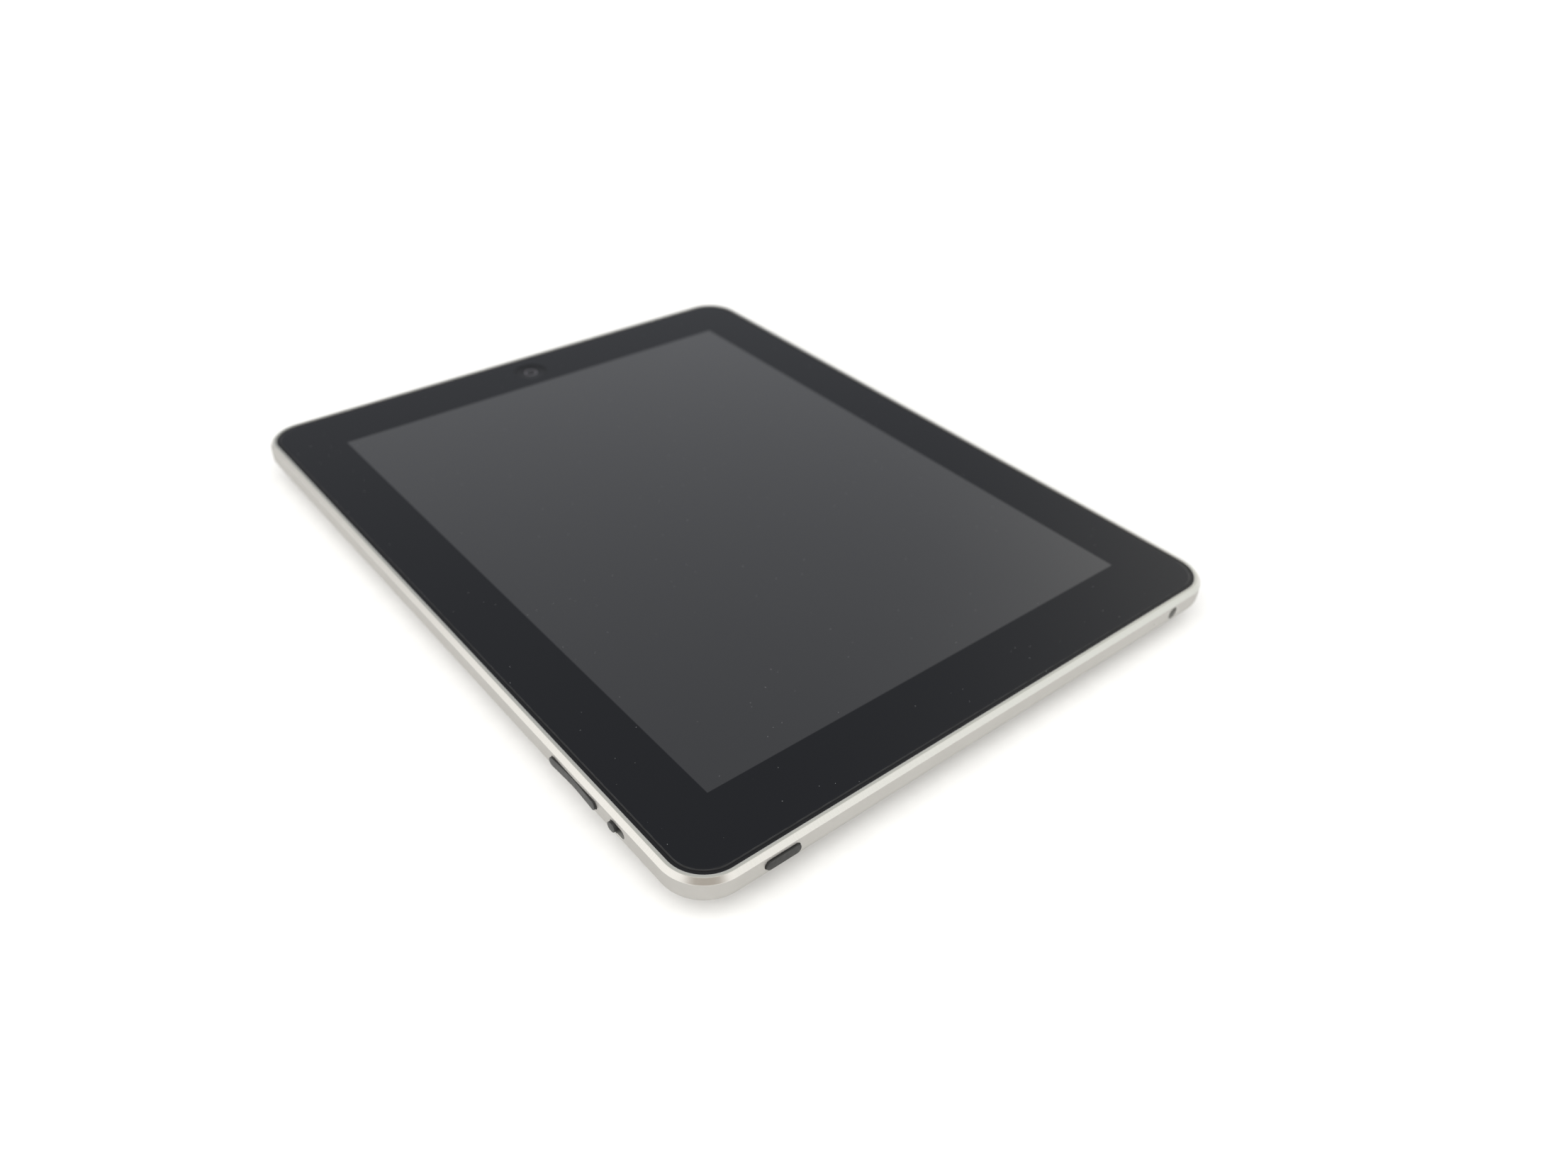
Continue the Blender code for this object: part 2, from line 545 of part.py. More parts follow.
def lock_switch(plate):
    """Sliding knob in its slot, the slide switch that it drives, and the side bracket."""
    outline = pill(KNOB_LENGTH, LOCK_HEIGHT - SEAM, (KNOB_Y, PORT_Z))
    slider_low, slider_high = HALF_X - RIM - 1.2, HALF_X - RIM - 0.5
    half = 1.35
    joint = (slider_high, KNOB_Y, PORT_Z)
    knob = prism("lock_knob", outline, slider_high - ROOT, HALF_X + KNOB_PROUD, "button_plastic", "X",
                 joint, smooth=True)
    slider = bmesh.new()
    add_box(slider, (slider_low, KNOB_Y - SLIDER_REACH, PORT_Z - half),
            (slider_high, KNOB_Y + SLIDER_REACH, PORT_Z + half))
    use_tool(knob, solid("lock_knob_slider", slider, "button_plastic"), "UNION")
    stem = bmesh.new()
    stem_end, stem_half_y, stem_half_z = plate + 0.8, 0.6, 0.4
    add_box(stem, (stem_end, KNOB_Y - stem_half_y, PORT_Z - stem_half_z),
            (slider_low + 0.2, KNOB_Y + stem_half_y, PORT_Z + stem_half_z))
    use_tool(knob, solid("lock_knob_stem", stem, "button_plastic"), "UNION")

    switch_low, switch_high = plate + GAP, slider_low - GAP
    middle = KNOB_Y + KNOB_TRAVEL / 2
    switch = box("lock_switch", (switch_low, middle - 5.2, PORT_Z - half),
                 (switch_high, middle + 5.2, PORT_Z + half), "chip_resin")
    groove = rectangle((KNOB_Y - stem_half_y - GAP, PORT_Z - stem_half_z - GAP),
                       (KNOB_Y + KNOB_TRAVEL + stem_half_y + GAP, PORT_Z + stem_half_z + GAP))
    cut(switch, "groove", groove, stem_end - 0.25, switch_high + 1, "X")

    bracket_ends = ROCKER_Y - ROCKER_LENGTH / 2 - 2.0, middle + 8.0
    prism("side_bracket", bracket_section(plate, 4.2), *bracket_ends, "steel", "Y")


# ---------------------------------------------------------------- ports and sound

def headphone_jack():
    """Body of the headphone socket, and the microphone capsule beside it."""
    outline = rounded(3.7, 2.3, 1.0, (JACK_X, PORT_Z), steps=3)
    inner_wall = HALF_Y - RIM - GAP
    jack = prism("headphone_jack", outline, inner_wall - JACK_DEPTH, inner_wall, "black_plastic", "Y")
    cut(jack, "bore", circle((JACK_X, PORT_Z), JACK_RADIUS), inner_wall - JACK_DEPTH + 1,
        inner_wall + 1, "Y")
    low, high = (MICROPHONE_X - 2.0, PORT_Z - 1.5), (MICROPHONE_X + 2.0, PORT_Z + 1.5)
    capsule = prism("microphone", rectangle(low, high), inner_wall - 2.8, inner_wall, "rubber", "Y")
    cut(capsule, "sound_hole", circle((MICROPHONE_X, PORT_Z), MICROPHONE_RADIUS, 12),
        inner_wall - 1.2, inner_wall + 1, "Y")


def dock_connector():
    """Wide socket in the bottom edge, its contact tongue, and the flat cable to the board."""
    mouth = -HALF_Y + 0.5
    half = DOCK_WIDTH / 2 - DOCK_SEAM
    low, high = DOCK_LOW + DOCK_SEAM, DOCK_HIGH - DOCK_SEAM
    middle = (low + high) / 2
    skin = 0.4
    corner = DOCK_CORNER - DOCK_SEAM
    outline = rounded(half, (high - low) / 2, corner, (0.0, middle))
    shell = prism("dock_connector", outline, mouth, DOCK_BACK, "steel", "Y")
    ears = bmesh.new()
    ear_x, ear_depth, screw_y = half + 4.7, 1.8, DOCK_SCREWS[0][1]
    add_box(ears, (-ear_x, screw_y - ear_depth, low), (ear_x, screw_y + ear_depth, low + 0.5))
    use_tool(shell, solid("dock_connector_ears", ears, "steel"), "UNION")
    socket = rounded(half - skin, (high - low) / 2 - skin, corner - skin, (0.0, middle))
    cut(shell, "socket", socket, mouth - 1, DOCK_BACK - 0.5, "Y")
    holes = bmesh.new()
    for centre in DOCK_SCREWS:
        add_prism(holes, circle(centre, SCREW_HOLE, 12), low - 1, low + 1)
    use_tool(shell, solid("dock_connector_holes", holes, "steel"))
    box("dock_contacts", (-11.0, mouth + 0.7, middle - 0.4), (11.0, DOCK_BACK - 0.8, middle + 0.4),
        "contact_gold")
    front, back, left, turn = -112.6, -106.0, -72.0, -64.0
    outline = [(10.0, front), (10.0, back), (turn, back), (turn, -90.0), (left, -90.0), (left, front)]
    prism("dock_cable", outline, 5.9, 6.1, "cable_film")


def speaker():
    """Closed box with two drivers, three sound ducts and the meshes in the case's slots."""
    section = [(-92.0, 4.2), (-92.0, 7.6), (-102.5, 7.6), (-102.5, 10.9), (-118.7, 10.9),
               (-118.7, 8.3), (-110.0, 4.2)]
    chamber = prism("speaker_box", section, 27.0, 76.0, "black_plastic", "X")
    ducts = bmesh.new()
    for x in SPEAKER_X:
        add_prism(ducts, pill(8.8, 2.2, (x, PORT_Z)), -120.0, -112.0, "Y")
    use_tool(chamber, solid("speaker_box_ducts", ducts, "black_plastic"))
    seats = bmesh.new()
    driver_half_x, driver_half_y, driver_low = 7.0, 4.2, 5.9
    for x, name in ((39.0, "speaker_driver_left"), (64.0, "speaker_driver_right")):
        seat = rounded(driver_half_x + GAP, driver_half_y + GAP, 1.8, (x, -97.3), steps=3)
        add_prism(seats, seat, driver_low - GAP, driver_low + 3)
        outline = rounded(driver_half_x, driver_half_y, 1.6, (x, -97.3), steps=3)
        prism(name, outline, driver_low, driver_low + 1.6, "steel")
    use_tool(chamber, solid("speaker_box_seats", seats, "black_plastic"))
    outer = -HALF_Y + 0.5
    for x, name in zip(SPEAKER_X, ("speaker_mesh_left", "speaker_mesh_middle", "speaker_mesh_right")):
        outline = pill(SPEAKER_LENGTH - 2 * SEAM, SPEAKER_HEIGHT - 2 * SEAM, (x, PORT_Z))
        prism(name, outline, outer, outer + 0.4, "steel", "Y")


# ---------------------------------------------------------------- battery and boards

def battery():
    left, right, bottom, top = -47.0, 75.0, -61.5, 77.0
    rim = 0.5
    tray = box("battery_tray", (left, bottom, 1.9), (right, top, 3.6), "black_plastic")
    inside = rectangle((left + rim, bottom + rim), (right - rim, top - rim))
    cut(tray, "hollow", inside, 2.3, 5.0)
    cut(tray, "window_hole", circle((0.0, WINDOW_Y), WINDOW_RADIUS + 2.5, 32), 1.0, 5.0)
    middle = (left + right) / 2
    cell_bottom, cell_top = bottom + rim + GAP, 68.5
    box("battery_cell_left", (left + rim + GAP, cell_bottom, BATTERY_LOW),
        (middle - 0.2, cell_top, BATTERY_HIGH), "battery_wrap")
    box("battery_cell_right", (middle + 0.2, cell_bottom, BATTERY_LOW),
        (right - rim - GAP, cell_top, BATTERY_HIGH), "battery_wrap")
    box("battery_board", (-20.0, cell_top + 0.8, BATTERY_LOW), (48.0, top - rim - GAP, 4.0),
        "circuit_board")
    box("battery_cable", (-60.0, 70.5, 4.4), (-16.0, 74.5, 4.9), "rubber")


def logic_board():
    """Long board beside the battery with its chips, sockets, shield and screws."""
    left, right = -81.5, -50.5
    board = box("logic_board", (left, -94.5, BOARD_LOW), (right, 94.5, BOARD_HIGH), "circuit_board")
    holes = bmesh.new()
    for centre in BOARD_SCREWS:
        add_prism(holes, circle(centre, SCREW_HOLE, 12), BOARD_LOW - 1, BOARD_HIGH + 1)
    use_tool(board, solid("logic_board_holes", holes, "circuit_board"))
    middle = (left + right) / 2
    chips = (("processor", 42.0, 14.0, 14.0, 1.3), ("power_chip", 21.0, 9.0, 9.0, 1.0),
             ("flash_chip_1", -52.0, 14.0, 12.0, 1.0), ("flash_chip_2", -70.0, 14.0, 12.0, 1.0))
    for name, y, width, depth, height in chips:
        box(name, (middle - width / 2, y - depth / 2, CHIP_LOW),
            (middle + width / 2, y + depth / 2, CHIP_LOW + height), "chip_resin")
    box("display_socket", (-64.0, -9.0, CHIP_LOW), (-56.0, 5.0, 5.6), "black_plastic")
    box("dock_socket", (-73.0, -94.0, CHIP_LOW), (-63.0, -90.3, 5.6), "black_plastic")
    can("main_shield", (-80.0, 12.0, CHIP_LOW), (-52.0, 54.0, 6.6))
    for number, centre in enumerate(BOARD_SCREWS, 1):
        screw(f"board_screw_{number}", centre, BOARD_SCREW_FOOT, BOARD_HIGH + GAP)
    for number, centre in enumerate(DOCK_SCREWS, 1):
        screw(f"dock_screw_{number}", centre, DOCK_SCREW_FOOT, DOCK_LOW + 0.7 + GAP)


def can(name, low, high):
    """Shield can: a thin metal lid, open towards the board."""
    sheet = 0.3
    lid = box(name, low, high, "steel")
    cut(lid, "hollow", rectangle((low[0] + sheet, low[1] + sheet), (high[0] - sheet, high[1] - sheet)),
        low[2] - 1, high[2] - sheet)


def screw(name, centre, foot, seat):
    """Small pan-head screw with a cross recess; it stands clear in its hole."""
    mesh = bmesh.new()
    head_radius, head_height = 1.3, 0.6
    profile = ((SCREW_RADIUS, foot), (SCREW_RADIUS, seat), (head_radius, seat),
               (head_radius, seat + 0.35), (0.95, seat + head_height))
    add_rings(mesh, [[(x, y, z) for x, y in circle(centre, radius, 12)] for radius, z in profile])
    body = solid(name, mesh, "steel", smooth=True)
    arm, width = 0.6, 0.14
    cross = [(arm, width), (width, width), (width, arm), (-width, arm), (-width, width), (-arm, width),
             (-arm, -width), (-width, -width), (-width, -arm), (width, -arm), (width, -width), (arm, -width)]
    cut(body, "recess", [(centre[0] + x, centre[1] + y) for x, y in cross], seat + 0.3, seat + 1)


def wireless():
    """Small radio board by the dock connector, its shield, and the lower antenna."""
    box("wifi_board", (-44.0, -104.0, 3.4), (-14.0, -80.0, 4.2), "circuit_board")
    can("wifi_shield", (-42.0, -102.0, 4.5), (-20.0, -84.0, 6.3))
    front, low, sheet = -112.0, 9.2, 0.4
    section = [(front, low), (-103.4, low), (-103.4, low + sheet), (front + sheet, low + sheet),
               (front + sheet, 10.9), (front, 10.9)]
    prism("wifi_antenna", section, -62.0, -26.0, "contact_gold", "X")


def build():
    clear_scene()
    rear_case()
    antenna_window()
    cover_glass()
    front_frame()
    touch_sensor()
    display()
    light_sensor()
    home_button()
    power_button()
    plate = volume_rocker()
    lock_switch(plate)
    headphone_jack()
    dock_connector()
    speaker()
    battery()
    logic_board()
    wireless()


build()
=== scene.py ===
"""Looks of the tablet computer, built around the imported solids.

The case, its window, glass, frame, buttons, headphone socket, speaker meshes and contact tongue
get finer pieces of their own; the other solids keep their shape and get detailed materials.
Lengths in the geometry code are millimetres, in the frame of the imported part; objects are in
metres.
"""
import json
import math

import bmesh
import bpy
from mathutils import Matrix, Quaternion, Vector


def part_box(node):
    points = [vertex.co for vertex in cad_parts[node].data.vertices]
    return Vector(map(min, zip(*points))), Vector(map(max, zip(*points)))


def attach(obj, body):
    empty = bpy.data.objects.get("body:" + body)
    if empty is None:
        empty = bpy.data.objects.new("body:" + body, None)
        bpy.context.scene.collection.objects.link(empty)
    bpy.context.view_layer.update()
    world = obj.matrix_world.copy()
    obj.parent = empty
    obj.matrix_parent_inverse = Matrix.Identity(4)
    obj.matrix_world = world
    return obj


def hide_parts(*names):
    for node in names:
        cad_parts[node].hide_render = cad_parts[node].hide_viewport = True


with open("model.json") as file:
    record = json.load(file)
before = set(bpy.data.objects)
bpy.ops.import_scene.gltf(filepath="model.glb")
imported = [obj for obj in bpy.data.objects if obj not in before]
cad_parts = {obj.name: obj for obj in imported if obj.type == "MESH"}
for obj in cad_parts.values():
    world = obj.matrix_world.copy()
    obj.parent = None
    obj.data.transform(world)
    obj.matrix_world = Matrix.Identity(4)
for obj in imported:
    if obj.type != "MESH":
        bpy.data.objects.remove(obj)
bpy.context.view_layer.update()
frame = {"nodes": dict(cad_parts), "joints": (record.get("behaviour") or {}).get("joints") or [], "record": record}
MM = 0.001


def span(node):
    """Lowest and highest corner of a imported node, in millimetres."""
    low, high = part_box(node)
    return low / MM, high / MM


def middle(node):
    low, high = span(node)
    return (low + high) / 2


# ---------------------------------------------------------------- sizes

# Rear case
HALF_X, HALF_Y, THICKNESS = span("rear_case")[1]
CORNER_RADIUS = 12.25
CHAMFER_WIDTH, CHAMFER_DROP = 1.18, 1.15
RIM = 2.09  # wall of the case at its mouth, lip and chamfer together
SHOULDER_EASE, CHAMFER_EASE, LIP_EASE = 0.10, 0.06, 0.12  # how far each edge's rounding reaches
WALL_FOOT = THICKNESS - 4.7  # where the upright wall ends and the curl under it starts
UNDER_ARCS = ((3.7, 0, 50, 10), (14.0, 50, 72, 8))  # radius, first and last turn, steps
CROWN_STEPS = 10
FLOOR = 1.2
BELLY_SOFTENING = 15.35  # the smaller this is, the rounder the corners towards the back
CORNER_STEPS = 24
BLASTED, CUT, LIP, MILLED = range(4)  # material slots of the case
BOSS_RADIUS, BOSS_BORE = 1.9, 0.9  # posts under the screws
BOARD_BOSS_TOP = 2.7
DOCK_BOSS_FOOT, DOCK_BOSS_TOP = 4.45, 6.6
BOSS_OVERLAP = 0.3  # how far a post runs into the floor, and its bore past the screw

# Openings in the case
SEAM = 0.15  # round the keys and the disc
MOUTH_FLARE = 0.10  # small bevel at the mouth of an opening
THROUGH = 1.0  # how far a cutter passes what it cuts
PORT_Z = 9.7
SPEAKER_SLOT = (10.3, 2.9)
DOCK_HALF_LENGTH, DOCK_HALF_HEIGHT, DOCK_CORNER, DOCK_FLARE = 13.1, 2.2, 1.2, 0.15
FINE_CIRCLE = 96  # segments of the large circles

# Front
GLASS_LOW, GLASS_HIGH = span("cover_glass")
GLASS_INSET = HALF_X - GLASS_HIGH.x
GLASS_BEVEL, GLASS_BEVEL_DROP = 0.28, 0.16
GLASS_LINE, GLASS_LINE_DROP = 0.09, 0.02  # the thin strip where the bevel starts
FRAME_LOW, FRAME_HIGH = span("front_frame")
FRAME_EASE = 0.12
LEDGE_TOP = 12.0
DISPLAY_OPENING = (84.1, 103.75, 1.5, (-0.9, 1.45))  # half width, half length, corner, centre
SENSOR_CENTRE, SENSOR_RADIUS = (0.0, 113.5), 1.2
JACK_NOTCH_HALF, JACK_NOTCH_START, JACK_NOTCH_RISE = 4.6, 103.0, 0.3
WINDOW_HALF_X, WINDOW_HALF_Y = 74.12, 98.69  # the part of the glass with no black print
WINDOW_BLUR = 0.1  # softness of the print's edge
PRINT_RADIUS, PRINT_WIDTH = 2.00, 0.32  # plain ring on the round button

# Keys in the edges: each cap stands on a flange behind the wall, wider than its slot
FLANGE_GAP, FLANGE_DEPTH, FLANGE_REACH = 0.68, 0.6, 1.0
ROOT = 0.3  # how far a cap runs into its flange
STUD_ROOT = 0.2  # how far a stud runs into its flange
KEY_EDGE, KEY_EDGE_STEPS = 0.10, 3  # rounding of a cap's edge
POWER_STUD, ROCKER_STUD = 0.8, 0.7  # radii of the studs that push the switches
POWER_LOW, POWER_HIGH = span("power_button")
POWER_X = middle("power_button").x
POWER_LENGTH = POWER_HIGH.x - POWER_LOW.x - 2 * FLANGE_REACH
POWER_HEIGHT = POWER_HIGH.z - POWER_LOW.z
ROCKER_LOW, ROCKER_HIGH = span("volume_rocker")
ROCKER_Y = middle("volume_rocker").y
ROCKER_LENGTH = ROCKER_HIGH.y - ROCKER_LOW.y - 2 * FLANGE_REACH
ROCKER_HEIGHT = ROCKER_HIGH.z - ROCKER_LOW.z
ROCKER_SEAM = 0.2
ROCKER_DIP, ROCKER_CURVE = 0.42, 1.25  # its middle lies this much deeper than its ends
KNOB_LOW, KNOB_HIGH = span("lock_knob")
KNOB_Y = middle("lock_knob").y
KNOB_LENGTH, LOCK_HEIGHT = 2.9, 2.6
KNOB_TRAVEL = max(joint["range_m"][1] for joint in frame["joints"] if joint["child"] == "lock_knob") / MM
SLIDER_GAP, SLIDER_DEPTH = 0.5, 0.7
STEM_HALF_Y, STEM_HALF_Z = 0.6, 0.4

HOME_LOW, HOME_HIGH = span("home_button")
HOME_CENTRE = middle("home_button").xy
HOME_RADIUS, HOME_SEAM, HOME_FLARE = 5.55, 0.08, 0.05
HOME_EASE = 0.15
HOME_FLANGE_DEPTH = 0.4
HOME_HOLE_GAP = 1.3  # round the button, in the frame
HOME_STUD, HOME_STUD_BEVEL = 1.5, (0.6, 0.2)
DISH_RIM, DISH_DEPTH, DISH_STEPS = 0.35, 0.3, 16  # the hollow in its face
DISC_LOW, DISC_HIGH = span("antenna_window")
DISC_CENTRE = middle("antenna_window").xy
DISC_RADIUS, DISC_EASE, DISC_FLARE = 17.0, 0.12, 0.08
DISC_FLANGE = 0.3
DISC_GROOVE = (0.74, 0.16, 0.05)  # inset from the edge, width, depth

# Ports and sound
JACK_X = middle("headphone_jack").x
JACK_RADIUS = 1.85
JACK_BEVEL, JACK_CORNER = 0.15, 1.0
JACK_BORE_STEP, JACK_BORE_END, JACK_COUNTERSINK = 0.1, 1.0, 0.2
SPRING_TURNS = (90.0, 215.0, 325.0)
SPRING_START, SPRING_PITCH = 2.0, 2.6  # behind the mouth, and from one to the next
SPRING_HALF_WIDTH, SPRING_THICKNESS = 0.35, 0.12
SPRING_BEND = ((0.0, 1.85), (0.8, 1.5), (1.2, 1.45), (2.0, 1.85))  # depth, distance from the axis
MICROPHONE_X = middle("microphone").x
MICROPHONE_RADIUS = 0.3
DOCK_Z = middle("dock_contacts").z
CONTACT_COUNT = 30
SPEAKER_MESHES = ("speaker_mesh_left", "speaker_mesh_middle", "speaker_mesh_right")
WIRE_PITCH, WIRE_RADIUS, WIRE_SIDES = 0.42, 0.09, 6
SCREEN_RIM, SCREEN_BEVEL = 0.28, 0.08
TONGUE_BEVEL, TONGUE_CORNER = 0.14, 0.2
CONTACT_RISE, CONTACT_DEPTH = 0.05, 0.12  # above the moulding, and in all
CONTACT_FRONT, CONTACT_BACK, CONTACT_SIDE = 0.5, 0.2, 0.6  # bare moulding round the contacts


# ---------------------------------------------------------------- outlines and meshes

def rounded(half_u, half_v, radius, centre=(0.0, 0.0), steps=CORNER_STEPS, straight=1):
    """Rounded rectangle, counter-clockwise from the middle of its +u end; no point repeats."""
    corners = []
    for quarter, (side_u, side_v) in enumerate(((1, 1), (-1, 1), (-1, -1), (1, -1))):
        middle_u = centre[0] + side_u * (half_u - radius)
        middle_v = centre[1] + side_v * (half_v - radius)
        arc = []
        for step in range(steps + 1):
            angle = math.radians(90) * (quarter + step / steps)
            arc.append((middle_u + radius * math.cos(angle), middle_v + radius * math.sin(angle)))
        corners.append(arc)
    points = []
    for arc, following in zip(corners, corners[1:] + corners[:1]):
        points += arc
        start, end = arc[-1], following[0]
        for step in range(1, straight):
            share = step / straight
            points.append((start[0] + (end[0] - start[0]) * share, start[1] + (end[1] - start[1]) * share))
    kept = []
    for point in points:
        if not kept or math.dist(point, kept[-1]) > 1e-4:
            kept.append(point)
    if math.dist(kept[0], kept[-1]) < 1e-4:
        kept.pop()
    return kept


def pill(length, height, centre, steps=16, straight=1):
    return rounded(length / 2, height / 2, height / 2, centre, steps, straight)


def circle(centre, radius, segments=64):
    turns = [2 * math.pi * step / segments for step in range(segments)]
    return [(centre[0] + radius * math.cos(t), centre[1] + radius * math.sin(t)) for t in turns]


def turned(point, height, along):
    """A point of an outline, placed at height along an axis."""
    u, v = point
    return {"X": (height, u, v), "Y": (u, height, v), "Z": (u, v, height)}[along]


def add_rings(mesh, rings, slots=None, ends="cap", edge_map=False):
    """Skin over closed rings of equal length; slots gives the material index of each strip.

    The ends get caps, stay open, or join each other. edge_map adds a UV map that runs along the
    rings, for marks that follow an edge.
    """
    loops = [[mesh.verts.new(point) for point in ring] for ring in rings]
    if ends == "join":
        loops.append(loops[0])
    along = [0.0]
    for start, end in zip(rings[0], rings[0][1:] + rings[0][:1]):
        along.append(along[-1] + math.dist(start, end))
    layer = mesh.loops.layers.uv.new("along_edge") if edge_map else None
    for number, (lower, upper) in enumerate(zip(loops, loops[1:])):
        for index in range(len(lower)):
            following = (index + 1) % len(lower)
            face = mesh.faces.new((lower[index], lower[following], upper[following], upper[index]))
            face.material_index = slots[number] if slots else 0
            if edge_map:
                for corner, place in zip(face.loops, (index, index + 1, index + 1, index)):
                    corner[layer].uv = (along[place] * MM, 0.0)
    if ends == "cap":
        first, last = mesh.faces.new(loops[0][::-1]), mesh.faces.new(loops[-1])
        first.material_index = slots[0] if slots else 0
        last.material_index = slots[-1] if slots else 0
    return loops


def placed(sections, along):
    """Rings from pairs of a height along an axis and the outline there."""
    return [[turned(point, height, along) for point in outline] for height, outline in sections]


def add_prism(mesh, outline, low, high, along="Z", slot=0):
    add_rings(mesh, placed(((low, outline), (high, outline)), along), [slot])


def add_turning(mesh, profile, centre, segments=FINE_CIRCLE):
    """Solid of revolution about an upright axis; profile holds radius and height."""
    add_rings(mesh, [[(x, y, z) for x, y in circle(centre, radius, segments)] for radius, z in profile])


def add_box(mesh, low, high, slot=0):
    corners = [(low[0], low[1]), (high[0], low[1]), (high[0], high[1]), (low[0], high[1])]
    add_prism(mesh, corners, low[2], high[2], slot=slot)


def add_mouth(mesh, outline, inner, face, along, flare=MOUTH_FLARE):
    """Cutter for an opening: straight through the wall, then a 45 degree bevel at its mouth.

    outline is a function of how far the opening has grown on every side.
    """
    outward = math.copysign(1.0, face - inner)
    spill = 0.5
    sections = ((inner, outline(0.0)), (face - outward * flare, outline(0.0)),
                (face + outward * spill, outline(flare + spill)))
    add_rings(mesh, placed(sections, along), [BLASTED, CUT])


def add_pill_mouth(mesh, length, height, centre, inner, face, along, flare=MOUTH_FLARE):
    add_mouth(mesh, lambda grow: pill(length + 2 * grow, height + 2 * grow, centre),
              inner, face, along, flare)


def add_round_mouth(mesh, centre, radius, inner, face, along, flare=MOUTH_FLARE, segments=64):
    add_mouth(mesh, lambda grow: circle(centre, radius + grow, segments), inner, face, along, flare)


def piece(name, mesh, materials, body="tablet_body", sharp=30.0, replaces=None):
    """An object from a mesh in millimetres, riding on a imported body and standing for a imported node."""
    bmesh.ops.recalc_face_normals(mesh, faces=mesh.faces)
    for vert in mesh.verts:
        vert.co *= MM
    data = bpy.data.meshes.new(name)
    mesh.to_mesh(data)
    mesh.free()
    for material in materials:
        data.materials.append(material)
    item = bpy.data.objects.new(name, data)
    bpy.context.scene.collection.objects.link(item)
    shade(item, sharp)
    if body:
        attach(item, body)
    if replaces:
        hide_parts(replaces)
    return item


def shade(item, sharp=30.0):
    item.data.shade_smooth()
    item.data.set_sharp_from_angle(angle=math.radians(sharp))


def combine(item, mesh, operation="DIFFERENCE"):
    """Cut item with a mesh in millimetres, or join it on, and keep the result as item's mesh."""
    tool = piece(item.name + "_tool", mesh, item.data.materials, body=None)
    modifier = item.modifiers.new("combine", "BOOLEAN")
    modifier.operation = operation
    modifier.solver = "EXACT"
    modifier.object = tool
    graph = bpy.context.evaluated_depsgraph_get()
    result = bpy.data.meshes.new_from_object(item.evaluated_get(graph), depsgraph=graph)
    item.modifiers.clear()
    item.data = result
    bpy.data.objects.remove(tool)
    shade(item)


def soften_normals(item):
    """Even shading on large faces beside small bevels."""
    modifier = item.modifiers.new("even_shading", "WEIGHTED_NORMAL")
    modifier.keep_sharp = True


# ---------------------------------------------------------------- materials

class Tree:
    """A node tree, written as short calls."""

    def __init__(self, tree):
        self.tree = tree

    def node(self, kind, inputs=None, **settings):
        made = self.tree.nodes.new(kind)
        for key, value in settings.items():
            setattr(made, key, value)
        for key, value in (inputs or {}).items():
            self.set(made, key, value)
        return made

    def set(self, node, key, value):
        socket = node.inputs[key]
        if isinstance(value, bpy.types.NodeSocket):
            self.tree.links.new(value, socket)
        else:
            socket.default_value = value

    def ramp(self, value, low, high, to_low=0.0, to_high=1.0):
        made = self.node("ShaderNodeMapRange", {"Value": value, "From Min": low, "From Max": high,
                                                "To Min": to_low, "To Max": to_high},
                         interpolation_type="SMOOTHSTEP")
        return made.outputs["Result"]

    def math(self, operation, first, second=0.0):
        return self.node("ShaderNodeMath", {0: first, 1: second}, operation=operation).outputs[0]

    def mix(self, factor, first, second):
        """Colour between two others, each of which is three numbers or comes from a node."""
        made = self.node("ShaderNodeMix", {0: factor}, data_type="RGBA")
        for number, value in ((6, first), (7, second)):
            self.set(made, number, value if isinstance(value, bpy.types.NodeSocket) else (*value, 1.0))
        return made.outputs[2]


class Recipe(Tree):
    """A material on the object."""

    def __init__(self, name, colour, roughness, metallic=0.0, **values):
        self.material = bpy.data.materials.new(name)
        self.material.use_nodes = True
        super().__init__(self.material.node_tree)
        self.shader = self.tree.nodes["Principled BSDF"]
        self.surface("Base Color", (*colour, 1.0))
        self.surface("Roughness", roughness)
        self.surface("Metallic", metallic)
        for key, value in values.items():
            self.surface(key.replace("_", " "), value)
        self.place = self.node("ShaderNodeTexCoord").outputs["Object"]

    def surface(self, key, value):
        self.set(self.shader, key, value)

    def noise(self, pitch, detail=2.0, stretch=(1.0, 1.0, 1.0)):
        """Noise whose blobs are about pitch millimetres across, stretched along some axes."""
        scale = 1 / (pitch * MM)
        vector = self.node("ShaderNodeVectorMath", {0: self.place, 1: tuple(scale / s for s in stretch)},
                           operation="MULTIPLY")
        made = self.node("ShaderNodeTexNoise",
                         {"Vector": vector.outputs[0], "Scale": 1.0, "Detail": detail})
        return made.outputs["Fac"]

    def cells(self, pitch, randomness=1.0):
        """Distance to the nearest of many points about pitch millimetres apart, in pitches."""
        made = self.node("ShaderNodeTexVoronoi", {"Vector": self.place, "Scale": 1 / (pitch * MM),
                                                  "Randomness": randomness})
        return made.outputs["Distance"]

    def axis(self, name):
        return self.node("ShaderNodeSeparateXYZ", {0: self.place}).outputs[name]

    def tint(self, value, first, second, low=0.3, high=0.7):
        """Let a texture drive the base colour from one shade to another."""
        self.surface("Base Color", self.mix(self.ramp(value, low, high), first, second))

    def wear(self, value, key, low, high):
        """Let a texture drive a shader value between two levels."""
        self.surface(key, self.ramp(value, 0.3, 0.7, low, high))

    def relief(self, height, depth, strength):
        """Let a texture raise the surface by up to depth millimetres."""
        bump = self.node("ShaderNodeBump",
                         {"Height": height, "Distance": depth * MM, "Strength": strength})
        self.surface("Normal", bump.outputs[0])


